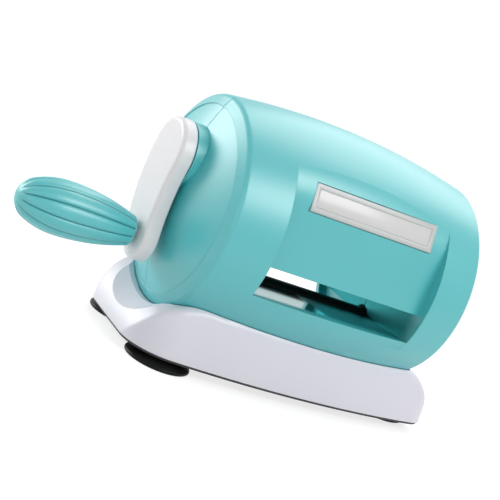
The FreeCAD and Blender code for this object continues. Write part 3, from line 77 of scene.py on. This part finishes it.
outward = Vector((math.sin(AZIMUTH), -math.cos(AZIMUTH), 0.0))
back = outward * math.cos(ELEVATION) + Vector((0.0, 0.0, math.sin(ELEVATION)))
level = Vector((math.cos(AZIMUTH), math.sin(AZIMUTH), 0.0))
upright = back.cross(level)
right = level * math.cos(ROLL) + upright * math.sin(ROLL)
up = upright * math.cos(ROLL) - level * math.sin(ROLL)

camera_data = bpy.data.cameras.new("studio_camera")
camera_data.lens = LENS
camera_data.sensor_width = SENSOR
camera_data.clip_start = CLIP_NEAR
camera_data.clip_end = CLIP_FAR
camera = bpy.data.objects.new("studio_camera", camera_data)
turn = Matrix((right, up, back)).transposed().to_4x4()
camera.matrix_world = Matrix.Translation(AIM + back * DISTANCE) @ turn
bpy.context.collection.objects.link(camera)
bpy.context.scene.camera = camera
print("camera at", [round(v, 3) for v in camera.matrix_world.translation])

# %% [markdown]
# ## Small helpers for nodes
# Materials are graphs of nodes. A few short helpers keep the graphs readable: they add a node and set its
# sockets by name, join two sockets, work out a number, rise softly from nought to one, and blend two
# shaders.

# %% Node helpers
def set_sockets(node, values):
    """Set input sockets by name, with spaces written as underscores."""
    for name, value in values.items():
        node.inputs[name.replace("_", " ")].default_value = value


def add_node(tree, kind, **values):
    """Add a node and set some of its input sockets."""
    node = tree.nodes.new(kind)
    set_sockets(node, values)
    return node


def join(tree, source, target):
    """Link an output socket to an input socket."""
    tree.links.new(source, target)


def maths(tree, operation, first, second):
    """Math node; each operand is a socket or a number."""
    node = tree.nodes.new("ShaderNodeMath")
    node.operation = operation
    for place, operand in enumerate((first, second)):
        if isinstance(operand, bpy.types.NodeSocket):
            join(tree, operand, node.inputs[place])
        else:
            node.inputs[place].default_value = operand
    return node.outputs[0]


def soft_step(tree, source, nought, one):
    """A value that rises smoothly from nought to one between two places."""
    node = add_node(tree, "ShaderNodeMapRange", From_Min=nought, From_Max=one)
    node.interpolation_type = "SMOOTHSTEP"
    join(tree, source, node.inputs["Value"])
    return node.outputs["Result"]


def mix_shaders(tree, share, first, second):
    """Show the first shader where the share is nought and the second where it is one."""
    node = tree.nodes.new("ShaderNodeMixShader")
    for source, target in zip((share, first.outputs[0], second.outputs[0]), node.inputs):
        join(tree, source, target)
    return node


def grey(tone):
    """Colour of one tone, with its alpha."""
    return (tone, tone, tone, 1)


print("node helpers ready")

# %% [markdown]
# ## Floor, background and lamps
# The photograph has a clean white ground. The floor is a real pale floor that takes the machine's shadow.
# To the camera it also glows a little, so that it comes out white without more light on the machine, and
# a round mask turns it plain white well before the horizon. The Light Path node tells the rays apart:
# those that show the floor, straight or in a reflection, and those that only carry its light to the
# machine.

# %% Floor
FLOOR_HALF = 6.0
FLOOR_GLOW = 0.75
FLOOR_GREY = 0.42
FLOOR_BOUNCE = 0.8
FADE_START = 0.22
FADE_END = 0.5
WHITE = grey(1)


def seen_rays(tree):
    """One for rays from the camera, off gloss or through glass, and nought for all others."""
    rays = tree.nodes.new("ShaderNodeLightPath")
    seen = maths(tree, "MAXIMUM", rays.outputs["Is Camera Ray"], rays.outputs["Is Glossy Ray"])
    return maths(tree, "MAXIMUM", seen, rays.outputs["Is Transmission Ray"])


floor_mesh = bpy.data.meshes.new("floor")
shape = bmesh.new()
bmesh.ops.create_grid(shape, x_segments=1, y_segments=1, size=FLOOR_HALF)
shape.to_mesh(floor_mesh)
shape.free()
floor = bpy.data.objects.new("floor", floor_mesh)
bpy.context.collection.objects.link(floor)

floor_look = bpy.data.materials.new("floor_white")
floor_look.use_nodes = True
tree = floor_look.node_tree
tree.nodes.clear()
place = tree.nodes.new("ShaderNodeTexCoord")
reach = tree.nodes.new("ShaderNodeVectorMath")
reach.operation = "LENGTH"
join(tree, place.outputs["Object"], reach.inputs[0])
far_away = soft_step(tree, reach.outputs["Value"], FADE_START, FADE_END)
bounce = add_node(tree, "ShaderNodeBsdfDiffuse", Color=grey(FLOOR_BOUNCE))
shadowed = add_node(tree, "ShaderNodeBsdfDiffuse", Color=grey(FLOOR_GREY))
glow = add_node(tree, "ShaderNodeEmission", Color=WHITE, Strength=FLOOR_GLOW)
plain_white = add_node(tree, "ShaderNodeEmission", Color=WHITE, Strength=1.0)
lifted = tree.nodes.new("ShaderNodeAddShader")
join(tree, shadowed.outputs[0], lifted.inputs[0])
join(tree, glow.outputs[0], lifted.inputs[1])
shown = mix_shaders(tree, far_away, lifted, plain_white)
surface = mix_shaders(tree, seen_rays(tree), bounce, shown)
out = tree.nodes.new("ShaderNodeOutputMaterial")
join(tree, surface.outputs[0], out.inputs["Surface"])
floor.data.materials.append(floor_look)
print("floor", FLOOR_HALF * 2, "m across")

# %% [markdown]
# The world is the light that comes from everywhere. Like the floor it has two faces: a soft fill that
# lights the machine, and plain white for the camera and for reflections. A paper backdrop could do the
# same, but the world has no edge that could show.

# %% World
WORLD_FILL = 0.34

world = bpy.data.worlds.new("studio_white")
bpy.context.scene.world = world
world.use_nodes = True
tree = world.node_tree
tree.nodes.clear()
fill = add_node(tree, "ShaderNodeBackground", Color=WHITE, Strength=WORLD_FILL)
shown = add_node(tree, "ShaderNodeBackground", Color=WHITE, Strength=1.0)
surface = mix_shaders(tree, seen_rays(tree), fill, shown)
out = tree.nodes.new("ShaderNodeOutputWorld")
join(tree, surface.outputs[0], out.inputs["Surface"])
bpy.context.scene.view_settings.view_transform = "Standard"
print("world fill", WORLD_FILL)

# %% [markdown]
# Four soft boxes light the machine. The strongest stands behind it on the left: its reflection makes the
# pale patch on top of the dome and leaves the dome dark beside the crank arm. One above on the right
# draws the sheen along the barrel's back, one in front lights the panel and the base, and a weak one on
# the left opens the shadows there. Area lamps are chosen because, like real soft boxes, they leave no
# hard edge of shadow.

# %% Lamps
LIT_POINT = Vector((0.0, 0.0, 0.06))


def soft_box(name, place, width, height, power):
    """A studio soft box: an area lamp that looks at the middle of the machine."""
    data = bpy.data.lights.new(name, "AREA")
    data.shape = "RECTANGLE"
    data.size = width
    data.size_y = height
    data.energy = power
    lamp = bpy.data.objects.new(name, data)
    lamp.location = place
    lamp.rotation_euler = (LIT_POINT - Vector(place)).to_track_quat("-Z", "Y").to_euler()
    bpy.context.collection.objects.link(lamp)


soft_box("rear_left_box", place=(-0.75, 0.82, 0.38), width=0.8, height=0.6, power=7.8)
soft_box("top_right_box", place=(0.52, 0.42, 0.84), width=0.8, height=1.0, power=5.3)
soft_box("front_box", place=(0.32, -0.86, 0.72), width=0.6, height=0.5, power=5.3)
soft_box("left_box", place=(-0.9, -0.62, 0.30), width=0.6, height=0.5, power=1.0)

# %% [markdown]
# ## Finishes that several materials share
# Moulded plastic is never quite smooth: the steel mould was spark eroded, which leaves a fine grain, and
# the plastic cools with faint, larger waves. Both are patterns in space, so one node group with a scale
# for each can serve every plastic on the machine. Groups only put out values; the shader stays in the
# material.

# %% Grain group
def new_group(name, inputs, outputs):
    """Shader node group with float inputs and outputs, and its two end nodes."""
    group = bpy.data.node_groups.new(name, "ShaderNodeTree")
    for socket, value in inputs:
        made = group.interface.new_socket(socket, in_out="INPUT", socket_type="NodeSocketFloat")
        made.default_value = value
    for socket in outputs:
        group.interface.new_socket(socket, in_out="OUTPUT", socket_type="NodeSocketFloat")
    start = group.nodes.new("NodeGroupInput")
    end = group.nodes.new("NodeGroupOutput")
    return group, start, end


grain_scales = (("Grain Scale", 1500.0), ("Wave Scale", 22.0))
grain_group, start, end = new_group("moulded_grain", grain_scales, ("Height", "Wave"))
place = grain_group.nodes.new("ShaderNodeTexCoord")
fine = add_node(grain_group, "ShaderNodeTexNoise", Detail=2.0, Roughness=0.6)
coarse = add_node(grain_group, "ShaderNodeTexNoise", Detail=1.0, Roughness=0.5)
join(grain_group, place.outputs["Object"], fine.inputs["Vector"])
join(grain_group, place.outputs["Object"], coarse.inputs["Vector"])
join(grain_group, start.outputs["Grain Scale"], fine.inputs["Scale"])
join(grain_group, start.outputs["Wave Scale"], coarse.inputs["Scale"])
join(grain_group, fine.outputs["Fac"], end.inputs["Height"])
join(grain_group, coarse.outputs["Fac"], end.inputs["Wave"])
print("group", grain_group.name)

# %% [markdown]
# Drawn steel has lines along the way it was worked. A noise that is stretched hard along one axis gives
# such lines. The shafts and bars of this machine all lie along X, so X it is, and the same group also
# serves the rubber rollers, whose ground surface shows lines along their length.

# %% Brushed group
line_sizes = (("Line Scale", 900.0), ("Stretch", 0.02))
brush_group, start, end = new_group("worked_lines", line_sizes, ("Lines",))
place = brush_group.nodes.new("ShaderNodeTexCoord")
spread = brush_group.nodes.new("ShaderNodeMapping")
ways = add_node(brush_group, "ShaderNodeCombineXYZ", Y=1.0, Z=1.0)
lines = add_node(brush_group, "ShaderNodeTexNoise", Detail=3.0, Roughness=0.65)
join(brush_group, start.outputs["Stretch"], ways.inputs["X"])
join(brush_group, place.outputs["Object"], spread.inputs["Vector"])
join(brush_group, ways.outputs[0], spread.inputs["Scale"])
join(brush_group, spread.outputs[0], lines.inputs["Vector"])
join(brush_group, start.outputs["Line Scale"], lines.inputs["Scale"])
join(brush_group, lines.outputs["Fac"], end.inputs["Lines"])
print("group", brush_group.name)

# %% [markdown]
# Inside the feed slot, light bounces from wall to wall and takes on the plastic's colour, so the walls
# look deep teal with hardly any white gloss. The walls take a darker tone, which is painted shade, and a
# metallic share, which tints their reflections teal in place of that bounced light. The left part of the
# slot's floor is glossier and mirrors the exit. Two masks in space mark these places: a mask is one
# between pairs of planes and nought elsewhere. Soft steps let the first fade in from both ends of the
# slot, and the second fade out towards the right wall.

# %% Slot masks
SLOT_LOW = Vector((-14.4, -47.0, 42.4)) * MM
SLOT_HIGH = Vector((71.9, 47.0, 60.7)) * MM
MOUTH_FADE = 10.0 * MM
FLOOR_TOP = 47.6 * MM
POLISH_END = 34.0 * MM
POLISH_FADE = 10.0 * MM

slot_group, start, end = new_group("slot_room", (), ("Inside", "Polish"))
place = slot_group.nodes.new("ShaderNodeTexCoord")
parts = slot_group.nodes.new("ShaderNodeSeparateXYZ")
join(slot_group, place.outputs["Object"], parts.inputs[0])
depth = maths(slot_group, "ABSOLUTE", parts.outputs["Y"], 0.0)
inside = soft_step(slot_group, depth, SLOT_HIGH.y, SLOT_HIGH.y - MOUTH_FADE)
for axis, low, high in zip(parts.outputs, SLOT_LOW, SLOT_HIGH):
    above = maths(slot_group, "GREATER_THAN", axis, low)
    below = maths(slot_group, "LESS_THAN", axis, high)
    inside = maths(slot_group, "MULTIPLY", inside, maths(slot_group, "MULTIPLY", above, below))
polish = soft_step(slot_group, parts.outputs["X"], POLISH_END, POLISH_END - POLISH_FADE)
on_floor = maths(slot_group, "LESS_THAN", parts.outputs["Z"], FLOOR_TOP)
polish = maths(slot_group, "MULTIPLY", polish, on_floor)
join(slot_group, inside, end.inputs["Inside"])
join(slot_group, maths(slot_group, "MULTIPLY", polish, inside), end.inputs["Polish"])
print("group", slot_group.name)

# %% [markdown]
# ## The materials
# Every material follows one plan: a Principled shader, a colour that drifts a little between two close
# tones, a roughness that drifts with it, and a shallow bump. What differs is the pattern that drives the
# drift. Real edges are never quite sharp, so the bump lies on a Bevel node, which rounds the edges in the
# shading alone.

# %% Material helpers
EDGE_SAMPLES = 6


def plain_material(name):
    """New material with its node tree and its Principled shader."""
    material = bpy.data.materials.new(name)
    material.use_nodes = True
    tree = material.node_tree
    return material, tree, tree.nodes["Principled BSDF"]


def use_group(tree, group, **values):
    """Place a node group in a material, with its own values."""
    node = tree.nodes.new("ShaderNodeGroup")
    node.node_tree = group
    set_sockets(node, values)
    return node


def ramp(tree, source, low, high):
    """Map a 0 to 1 pattern onto a range of values."""
    node = add_node(tree, "ShaderNodeMapRange", To_Min=low, To_Max=high)
    join(tree, source, node.inputs["Value"])
    return node.outputs["Result"]


def tones(tree, source, first, second):
    """Blend two colours by a pattern; the first is a colour or another blend."""
    node = tree.nodes.new("ShaderNodeMix")
    node.data_type = "RGBA"
    if isinstance(first, tuple):
        node.inputs["A"].default_value = (*first, 1)
    else:
        join(tree, first, node.inputs["A"])
    node.inputs["B"].default_value = (*second, 1)
    join(tree, source, node.inputs["Factor"])
    return node.outputs["Result"]


def bump(tree, source, shader, strength, depth, edge):
    """Shallow bump on top of edges that are rounded in the shading."""
    rounded = add_node(tree, "ShaderNodeBevel", Radius=edge)
    rounded.samples = EDGE_SAMPLES
    node = add_node(tree, "ShaderNodeBump", Strength=strength, Distance=depth)
    join(tree, rounded.outputs["Normal"], node.inputs["Normal"])
    join(tree, source, node.inputs["Height"])
    join(tree, node.outputs["Normal"], shader.inputs["Normal"])


print("material helpers ready")

# %% [markdown]
# Moulded plastic takes the grain group. Two places need more: the walls of the feed slot, which the slot
# masks find, and the creases of the grip, which a number on the grip's own mesh marks. Both get painted
# shade, a darker tone, and both change values of the same shader, so no surface has to be cut in two.

# %% Moulded plastic
PLASTIC_IOR = 1.6
PLASTIC_EDGE = 0.45 * MM
GRAIN_DEPTH = 0.05 * MM
CREASE = "crease"


def moulded(name, tints, rough, grain, strength, shine=0.5, slot=None, crease=None):
    """Moulded plastic: two close tints, satin gloss and a spark eroded grain.

    slot is the painted shade tone, the least roughness and the metallic share inside the feed slot, and
    crease is the painted shade tone at the bottom of grooves.
    """
    material, tree, shader = plain_material(name)
    shader.inputs["IOR"].default_value = PLASTIC_IOR
    shader.inputs["Specular IOR Level"].default_value = shine
    pattern = use_group(tree, grain_group, Grain_Scale=grain)
    colour = tones(tree, pattern.outputs["Wave"], *tints)
    gloss = ramp(tree, pattern.outputs["Wave"], *rough)
    height = pattern.outputs["Height"]
    if slot is not None:
        slot_shade, slot_rough, slot_metal = slot
        room = use_group(tree, slot_group)
        metal = maths(tree, "MULTIPLY", room.outputs["Inside"], slot_metal)
        join(tree, metal, shader.inputs["Metallic"])
        # Painted shade: a darker tone inside the feed slot, fading in from its mouths.
        colour = tones(tree, room.outputs["Inside"], colour, slot_shade)
        unpolished = maths(tree, "SUBTRACT", 1.0, room.outputs["Polish"])
        gloss = maths(tree, "MAXIMUM", maths(tree, "MULTIPLY", gloss, unpolished), slot_rough)
        height = maths(tree, "MULTIPLY", height, unpolished)
    if crease is not None:
        mark = tree.nodes.new("ShaderNodeAttribute")
        mark.attribute_name = CREASE
        # Painted shade: a darker tone at the bottoms of the grip's grooves, by how deep the skin is pressed
        # in.
        colour = tones(tree, mark.outputs["Fac"], colour, crease)
    join(tree, colour, shader.inputs["Base Color"])
    join(tree, gloss, shader.inputs["Roughness"])
    bump(tree, height, shader, strength, GRAIN_DEPTH, PLASTIC_EDGE)
    return material


print("moulded plastic ready")

# %% [markdown]
# Metal and the ground rubber of the rollers take the lines instead. Their tint, gloss and bump all follow
# the same lines, because one stroke of the tool leaves all three.

# %% Worked metal and ground rubber
METAL_EDGE = 0.2 * MM
LINE_DEPTH = 0.03 * MM


def worked(name, tints, rough, metal=1.0, scale=900.0, strength=0.1):
    """Worked metal or ground rubber: tints, gloss and bump follow long fine lines."""
    material, tree, shader = plain_material(name)
    shader.inputs["Metallic"].default_value = metal
    pattern = use_group(tree, brush_group, Line_Scale=scale)
    join(tree, tones(tree, pattern.outputs["Lines"], *tints), shader.inputs["Base Color"])
    join(tree, ramp(tree, pattern.outputs["Lines"], *rough), shader.inputs["Roughness"])
    bump(tree, pattern.outputs["Lines"], shader, strength, LINE_DEPTH, METAL_EDGE)
    return material


print("worked metal ready")

# %% [markdown]
# Now the finishes themselves. The case and the grip are the same teal plastic, with a shallower grain on
# the grip. The base and the crank arm are two whites, the base a little bluer. Colours are given in
# linear light, so the numbers look darker than the colours on the screen.

# %% Plastics and soft rubber
TEAL = ((0.052, 0.475, 0.500), (0.062, 0.515, 0.540))
TEAL_ROUGH = (0.33, 0.42)
TEAL_GRAIN = 1200.0
# The slot tone is painted shade: a darker teal for the walls deep inside the feed slot.
SLOT_SHADE_TONE = (0.004, 0.27, 0.285)
SLOT_ROUGH = 0.1
SLOT_METAL = 0.9
# The crease tone is painted shade: a darker teal at the bottoms of the grip's grooves.
CREASE_SHADE_TONE = (0.008, 0.22, 0.245)
BASE_WHITE = ((0.755, 0.735, 0.81), (0.785, 0.765, 0.835))
ARM_WHITE = ((0.81, 0.795, 0.81), (0.835, 0.82, 0.835))
WHITE_GRAIN = 1800.0
SATIN = (0.30, 0.42)
RIM_GREY = ((0.52, 0.545, 0.54), (0.56, 0.58, 0.575))
FACE_GREY = ((0.66, 0.66, 0.655), (0.69, 0.69, 0.685))
PLATE_BLACK = ((0.012, 0.012, 0.013), (0.02, 0.02, 0.021))
CUP_BLACK = ((0.003, 0.003, 0.003), (0.006, 0.006, 0.006))

looks = {
    "grip": moulded("teal_grip", TEAL, TEAL_ROUGH, TEAL_GRAIN, strength=0.3, shine=1.0, crease=CREASE_SHADE_TONE),
    "teal": moulded("teal_case", TEAL, TEAL_ROUGH, TEAL_GRAIN, strength=0.45, shine=1.0,
                    slot=(SLOT_SHADE_TONE, SLOT_ROUGH, SLOT_METAL)),
    "white": moulded("white_base", BASE_WHITE, SATIN, WHITE_GRAIN, strength=0.1),
    "arm": moulded("white_arm", ARM_WHITE, SATIN, WHITE_GRAIN, strength=0.1),
    "label_rim": moulded("label_rim", RIM_GREY, rough=(0.25, 0.34), grain=2400.0, strength=0.05),
    "label_face": moulded("label_face", FACE_GREY, rough=(0.22, 0.30), grain=900.0, strength=0.03),
    "plate": moulded("bottom_plate_black", PLATE_BLACK, rough=(0.5, 0.65), grain=700.0, strength=0.3),
    "cup": moulded("suction_rubber", CUP_BLACK, SATIN, grain=400.0, strength=0.08, shine=0.1),
}
print("plastics:", [look.name for look in looks.values()])

# %% [markdown]
# The steels differ in how bright and how smooth they are: sheet for the frames, bright bar for the shafts
# and tie bars, and oiled steel for gears, screws and clips. The bushes are a yellow bearing metal. Only
# the rollers have no metal in them, and their lines are coarser and deeper.

# %% Metals and ground rubber
ROLLER_BLACK = ((0.004, 0.004, 0.004), (0.010, 0.010, 0.010))
SHEET_STEEL = ((0.50, 0.51, 0.53), (0.62, 0.63, 0.65))
BAR_STEEL = ((0.60, 0.61, 0.63), (0.72, 0.73, 0.75))
GEAR_STEEL = ((0.14, 0.14, 0.15), (0.24, 0.24, 0.25))
BUSH_METAL = ((0.58, 0.38, 0.14), (0.70, 0.49, 0.2))

looks["roller"] = worked("roller_rubber", ROLLER_BLACK, rough=(0.3, 0.5), metal=0.0, scale=700.0,
                         strength=0.4)
looks["frame"] = worked("frame_sheet_steel", SHEET_STEEL, rough=(0.28, 0.45))
looks["bright"] = worked("bright_bar_steel", BAR_STEEL, rough=(0.16, 0.3))
looks["dark"] = worked("oiled_gear_steel", GEAR_STEEL, rough=(0.3, 0.45))
looks["bush"] = worked("bush_bronze", BUSH_METAL, rough=(0.25, 0.4))
print("materials:", [look.name for look in looks.values()])

# %% [markdown]
# Each solid wears one finish. A list of solids for each look is easier to check than a look written
# beside each solid, because every solid has to turn up once, and the count at the end shows it.

# %% Dress the solids
DRESS = {
    "teal": ("front_shell", "rear_shell", "crank_collar", "grip"),
    "white": ("base",),
    "arm": ("crank_arm",),
    "label_rim": ("label_plate",),
    "label_face": ("label_insert",),
    "plate": ("bottom_plate",),
    "cup": ("front_left_suction_cup", "rear_left_suction_cup", "right_suction_cup"),
    "roller": ("upper_roller_sleeve", "lower_roller_sleeve"),
    "frame": ("left_side_frame", "right_side_frame"),
    "bright": ("tie_bars", "crank_shaft", "grip_spindle", "upper_roller_shaft", "lower_roller_shaft"),
    "dark": (
        "shell_screws", "base_screws", "plate_screws", "tie_bar_screws",
        "crank_pinion", "drive_gear", "upper_coupling_gear", "lower_coupling_gear",
        "crank_clip", "upper_roller_clip", "lower_roller_clip",
    ),
    "bush": ("left_upper_bush", "left_lower_bush", "right_upper_bush", "right_lower_bush", "crank_bush"),
}
for look, names in DRESS.items():
    for name in names:
        solid = nodes[name]
        if not solid.material_slots:
            solid.data.materials.append(looks[look])
        for slot in solid.material_slots:
            slot.material = looks[look]
print("dressed", sum(len(names) for names in DRESS.values()), "of", len(nodes))

# %% [markdown]
# ## Softer pieces
# Some pieces catch the eye because their real edges are soft. They are made again as meshes, which are
# shown in place of the solids. A helper turns a bmesh into an object, shades it smoothly, gives it its
# material, hangs it on the body it rides and hides the solid it replaces. A second one spins an outline
# round an axis, because both the cups and the grip are turned shapes.

# %% Piece helpers
SHARP = math.radians(35.0)
MERGE = 0.001 * MM


def stand_in(name, shape, node, body, look):
    """Finish a mesh as a piece that is shown in place of a solid."""
    bmesh.ops.remove_doubles(shape, verts=shape.verts, dist=MERGE)
    bmesh.ops.recalc_face_normals(shape, faces=shape.faces)
    mesh = bpy.data.meshes.new(name)
    shape.to_mesh(mesh)
    shape.free()
    mesh.polygons.foreach_set("use_smooth", [True] * len(mesh.polygons))
    mesh.set_sharp_from_angle(angle=SHARP)
    mesh.materials.append(looks[look])
    piece = bpy.data.objects.new(name, mesh)
    bpy.context.collection.objects.link(piece)
    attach(piece, body)
    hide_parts(node)


def spun(outline, axis, steps):
    """Surface of revolution from a half outline of points that lies beside an axis through the origin."""
    shape = bmesh.new()
    points = [shape.verts.new(point) for point in outline]
    edges = [shape.edges.new(pair) for pair in zip(points, points[1:])]
    bmesh.ops.spin(shape, geom=points + edges, cent=(0, 0, 0), axis=axis, angle=math.tau, steps=steps,
                   use_merge=True)
    return shape


print("piece helpers ready")

# %% [markdown]
# The suction cups are soft rubber bells: a shallow cone that flares out below the base, a rounded lip and
# a hollow underneath. A half outline, spun once round, makes one. It starts on the axis at the knob that
# holds the cup in the bottom plate, goes out to the lip, which is most of a half circle, and comes back
# along the hollow. Its sizes are in millimetres and its angles in degrees.

# %% Suction cups
CUP_STEPS = 96
LIP_STEPS = 10
LIP_START = 60.0
LIP_SWEEP = 150.0
CUP_TOP = 10.4
CUP_RADIUS = 15.7
LIP_THICK = 2.0
HOLLOW = 2.2
STEM = 4.0
KNOB = 6.0
KNOB_TOP = 7.9
PLATE_TOP = 5.9
PLATE_BOTTOM = 4.7

lip_radius = LIP_THICK / 2
lip_centre = CUP_RADIUS - lip_radius
cup_outline = [(0, KNOB_TOP), (KNOB, KNOB_TOP), (KNOB, PLATE_TOP), (STEM, PLATE_TOP), (STEM, PLATE_BOTTOM),
               (CUP_TOP, PLATE_BOTTOM)]
for i in range(LIP_STEPS + 1):
    angle = math.radians(LIP_START - LIP_SWEEP * i / LIP_STEPS)
    across = lip_centre + lip_radius * math.cos(angle)
    cup_outline.append((across, lip_radius + lip_radius * math.sin(angle)))
for i in range(1, LIP_STEPS + 1):
    share = i / LIP_STEPS
    cup_outline.append((lip_centre * (1.0 - share), HOLLOW * math.sin(share * math.pi / 2)))
for node in DRESS["cup"]:
    low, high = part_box(node)
    shape = spun([(radius * MM, 0, height * MM) for radius, height in cup_outline], (0, 0, 1), CUP_STEPS)
    centre = Vector(((low.x + high.x) / 2, (low.y + high.y) / 2, 0.0))
    bmesh.ops.translate(shape, verts=shape.verts, vec=centre)
    stand_in(node.replace("suction_cup", "soft_cup"), shape, node, "body", "cup")
print("cup outline points:", len(cup_outline))

# %% [markdown]
# The grip is a long egg with a bore for its spindle. Its outline is three arcs, as in the solid: a long
# one from the inner end to the belly, a shorter one from the belly on, and a round nose that touches it
# smoothly. The nose's radius follows from the other two. Points lie closer together at the ends, where
# the outline bends most. All sizes are in millimetres.

# %% Grip outline
GRIP_LENGTH = 56.2
GRIP_BELLY = 33.9
GRIP_RADIUS = 12.6
GRIP_SIDE = 104.0
GRIP_TIP = 40.0
GRIP_BORE = 3.55
BORE_DEPTH = 8.0
END_ROUND = 0.8
GRIP_POINTS = 110

front = GRIP_LENGTH - GRIP_BELLY
drop = GRIP_TIP - GRIP_RADIUS
nose = (GRIP_TIP ** 2 - front ** 2 - drop ** 2) / (2 * (GRIP_TIP - front))
nose_centre = GRIP_LENGTH - nose
nose_start = GRIP_BELLY + GRIP_TIP * math.cos(math.atan2(drop, nose_centre - GRIP_BELLY))


def grip_radius(along):
    """Radius of the grip's skin at a distance from its inner end."""
    if along < GRIP_BELLY:
        return GRIP_RADIUS - GRIP_SIDE + math.sqrt(GRIP_SIDE ** 2 - (along - GRIP_BELLY) ** 2)
    if along < nose_start:
        return GRIP_RADIUS - GRIP_TIP + math.sqrt(GRIP_TIP ** 2 - (along - GRIP_BELLY) ** 2)
    return math.sqrt(max(0.0, nose ** 2 - (along - nose_centre) ** 2))


inner_radius = grip_radius(0.0) - END_ROUND
grip_outline = [(BORE_DEPTH, 0.0), (BORE_DEPTH, GRIP_BORE), (0.0, GRIP_BORE), (0.0, inner_radius)]
for i in range(1, GRIP_POINTS):
    along = GRIP_LENGTH * (1 - math.cos(math.pi * i / GRIP_POINTS)) / 2
    radius = grip_radius(along)
    if along < END_ROUND:
        radius += math.sqrt(END_ROUND ** 2 - (END_ROUND - along) ** 2) - END_ROUND
    grip_outline.append((along, radius))
grip_outline.append((GRIP_LENGTH, 0.0))
print("grip nose radius", round(nose, 2), "mm")

# %% [markdown]
# Grooves run along the grip and out over its nose. They could be cut with a boolean, but a pressed skin
# has softer lips: each point of the spun skin moves towards the axis by a curve that falls off with its
# distance from the nearest of eleven lines. How deep a point lies is kept as a number on the mesh, so the
# material can darken the bottoms of the creases, where little light falls. The grip's axis is that of the
# joint it turns on.

# %% Grip
GROOVES = 11
GROOVE_DEPTH = 1.1
GROOVE_HALF = 0.5
LOBE_DEPTH = 0.1
GROOVE_START = 0.3
NECK_FADE = 1.0
NOSE_FADE = 3.0
CREASE_TOP = 0.35
POINTS_PER_GROOVE = 30
CLEAR_OF_BORE = 1.01
LEAST_RADIUS = 0.001


def smooth(share):
    """Soft step from nought to one."""
    share = min(1.0, max(0.0, share))
    return share * share * (3 - 2 * share)


def groove_dent(along, radius, angle):
    """How far the skin is pressed in at a place."""
    pitch = math.tau / GROOVES
    from_groove = (angle + pitch / 2) % pitch - pitch / 2
    crease = GROOVE_DEPTH * math.exp(-abs(from_groove) * radius / GROOVE_HALF)
    lobe = LOBE_DEPTH * (1 + math.cos(from_groove * GROOVES)) / 2
    fade = smooth((along - GROOVE_START) / NECK_FADE) * smooth((GRIP_LENGTH - along) / NOSE_FADE)
    return (crease + lobe) * fade


half = [(-along * MM, 0, radius * MM) for along, radius in grip_outline]
shape = spun(half, (1, 0, 0), GROOVES * POINTS_PER_GROOVE)
crease = shape.verts.layers.float.new(CREASE)
for vert in shape.verts:
    along = -vert.co.x / MM
    radius = math.hypot(vert.co.y, vert.co.z) / MM
    if radius > GRIP_BORE * CLEAR_OF_BORE or along > BORE_DEPTH * CLEAR_OF_BORE:
        dent = groove_dent(along, radius, math.atan2(vert.co.y, vert.co.z))
        vert[crease] = smooth((dent / (GROOVE_DEPTH + LOBE_DEPTH) - CREASE_TOP) / (1 - CREASE_TOP))
        keep = 1 - min(1.0, dent / max(radius, dent, LEAST_RADIUS))
        vert.co.y *= keep
        vert.co.z *= keep
grip_joint = next(joint for joint in frame["joints"] if joint["child"] == "grip")
inner_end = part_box("grip")[1].x
bmesh.ops.translate(shape, verts=shape.verts, vec=(inner_end, *grip_joint["pos_m"][1:]))
stand_in("soft_grip", shape, "grip", "grip", "grip")
print("grip grooves:", GROOVES)

# %% [markdown]
# The label is a flat plate in a shallow pocket, with a paler insert. Both have thin broken edges. The
# solids' own meshes are copied, merged and bevelled along their sharp edges, so the copies fit exactly.

# %% Label
LABEL_BEVEL = 0.25 * MM
BEVEL_STEPS = 3
FLAT = math.radians(1.0)


def bevelled_copy(name, node, offset, body, look):
    """Copy of a solid's mesh with its sharp edges broken."""
    shape = bmesh.new()
    shape.from_mesh(nodes[node].data)
    shape.transform(nodes[node].matrix_world)
    bmesh.ops.remove_doubles(shape, verts=shape.verts, dist=MERGE)
    bmesh.ops.dissolve_limit(shape, angle_limit=FLAT, verts=shape.verts, edges=shape.edges)
    sharp = [edge for edge in shape.edges if len(edge.link_faces) == 2 and edge.calc_face_angle() > SHARP]
    bmesh.ops.bevel(shape, geom=sharp, offset=offset, affect="EDGES", segments=BEVEL_STEPS, profile=0.5,
                    material=-1)
    stand_in(name, shape, node, body, look)


bevelled_copy("soft_label_plate", "label_plate", LABEL_BEVEL, "body", "label_rim")
bevelled_copy("soft_label_insert", "label_insert", LABEL_BEVEL / 2, "body", "label_face")
print("label pieces ready")
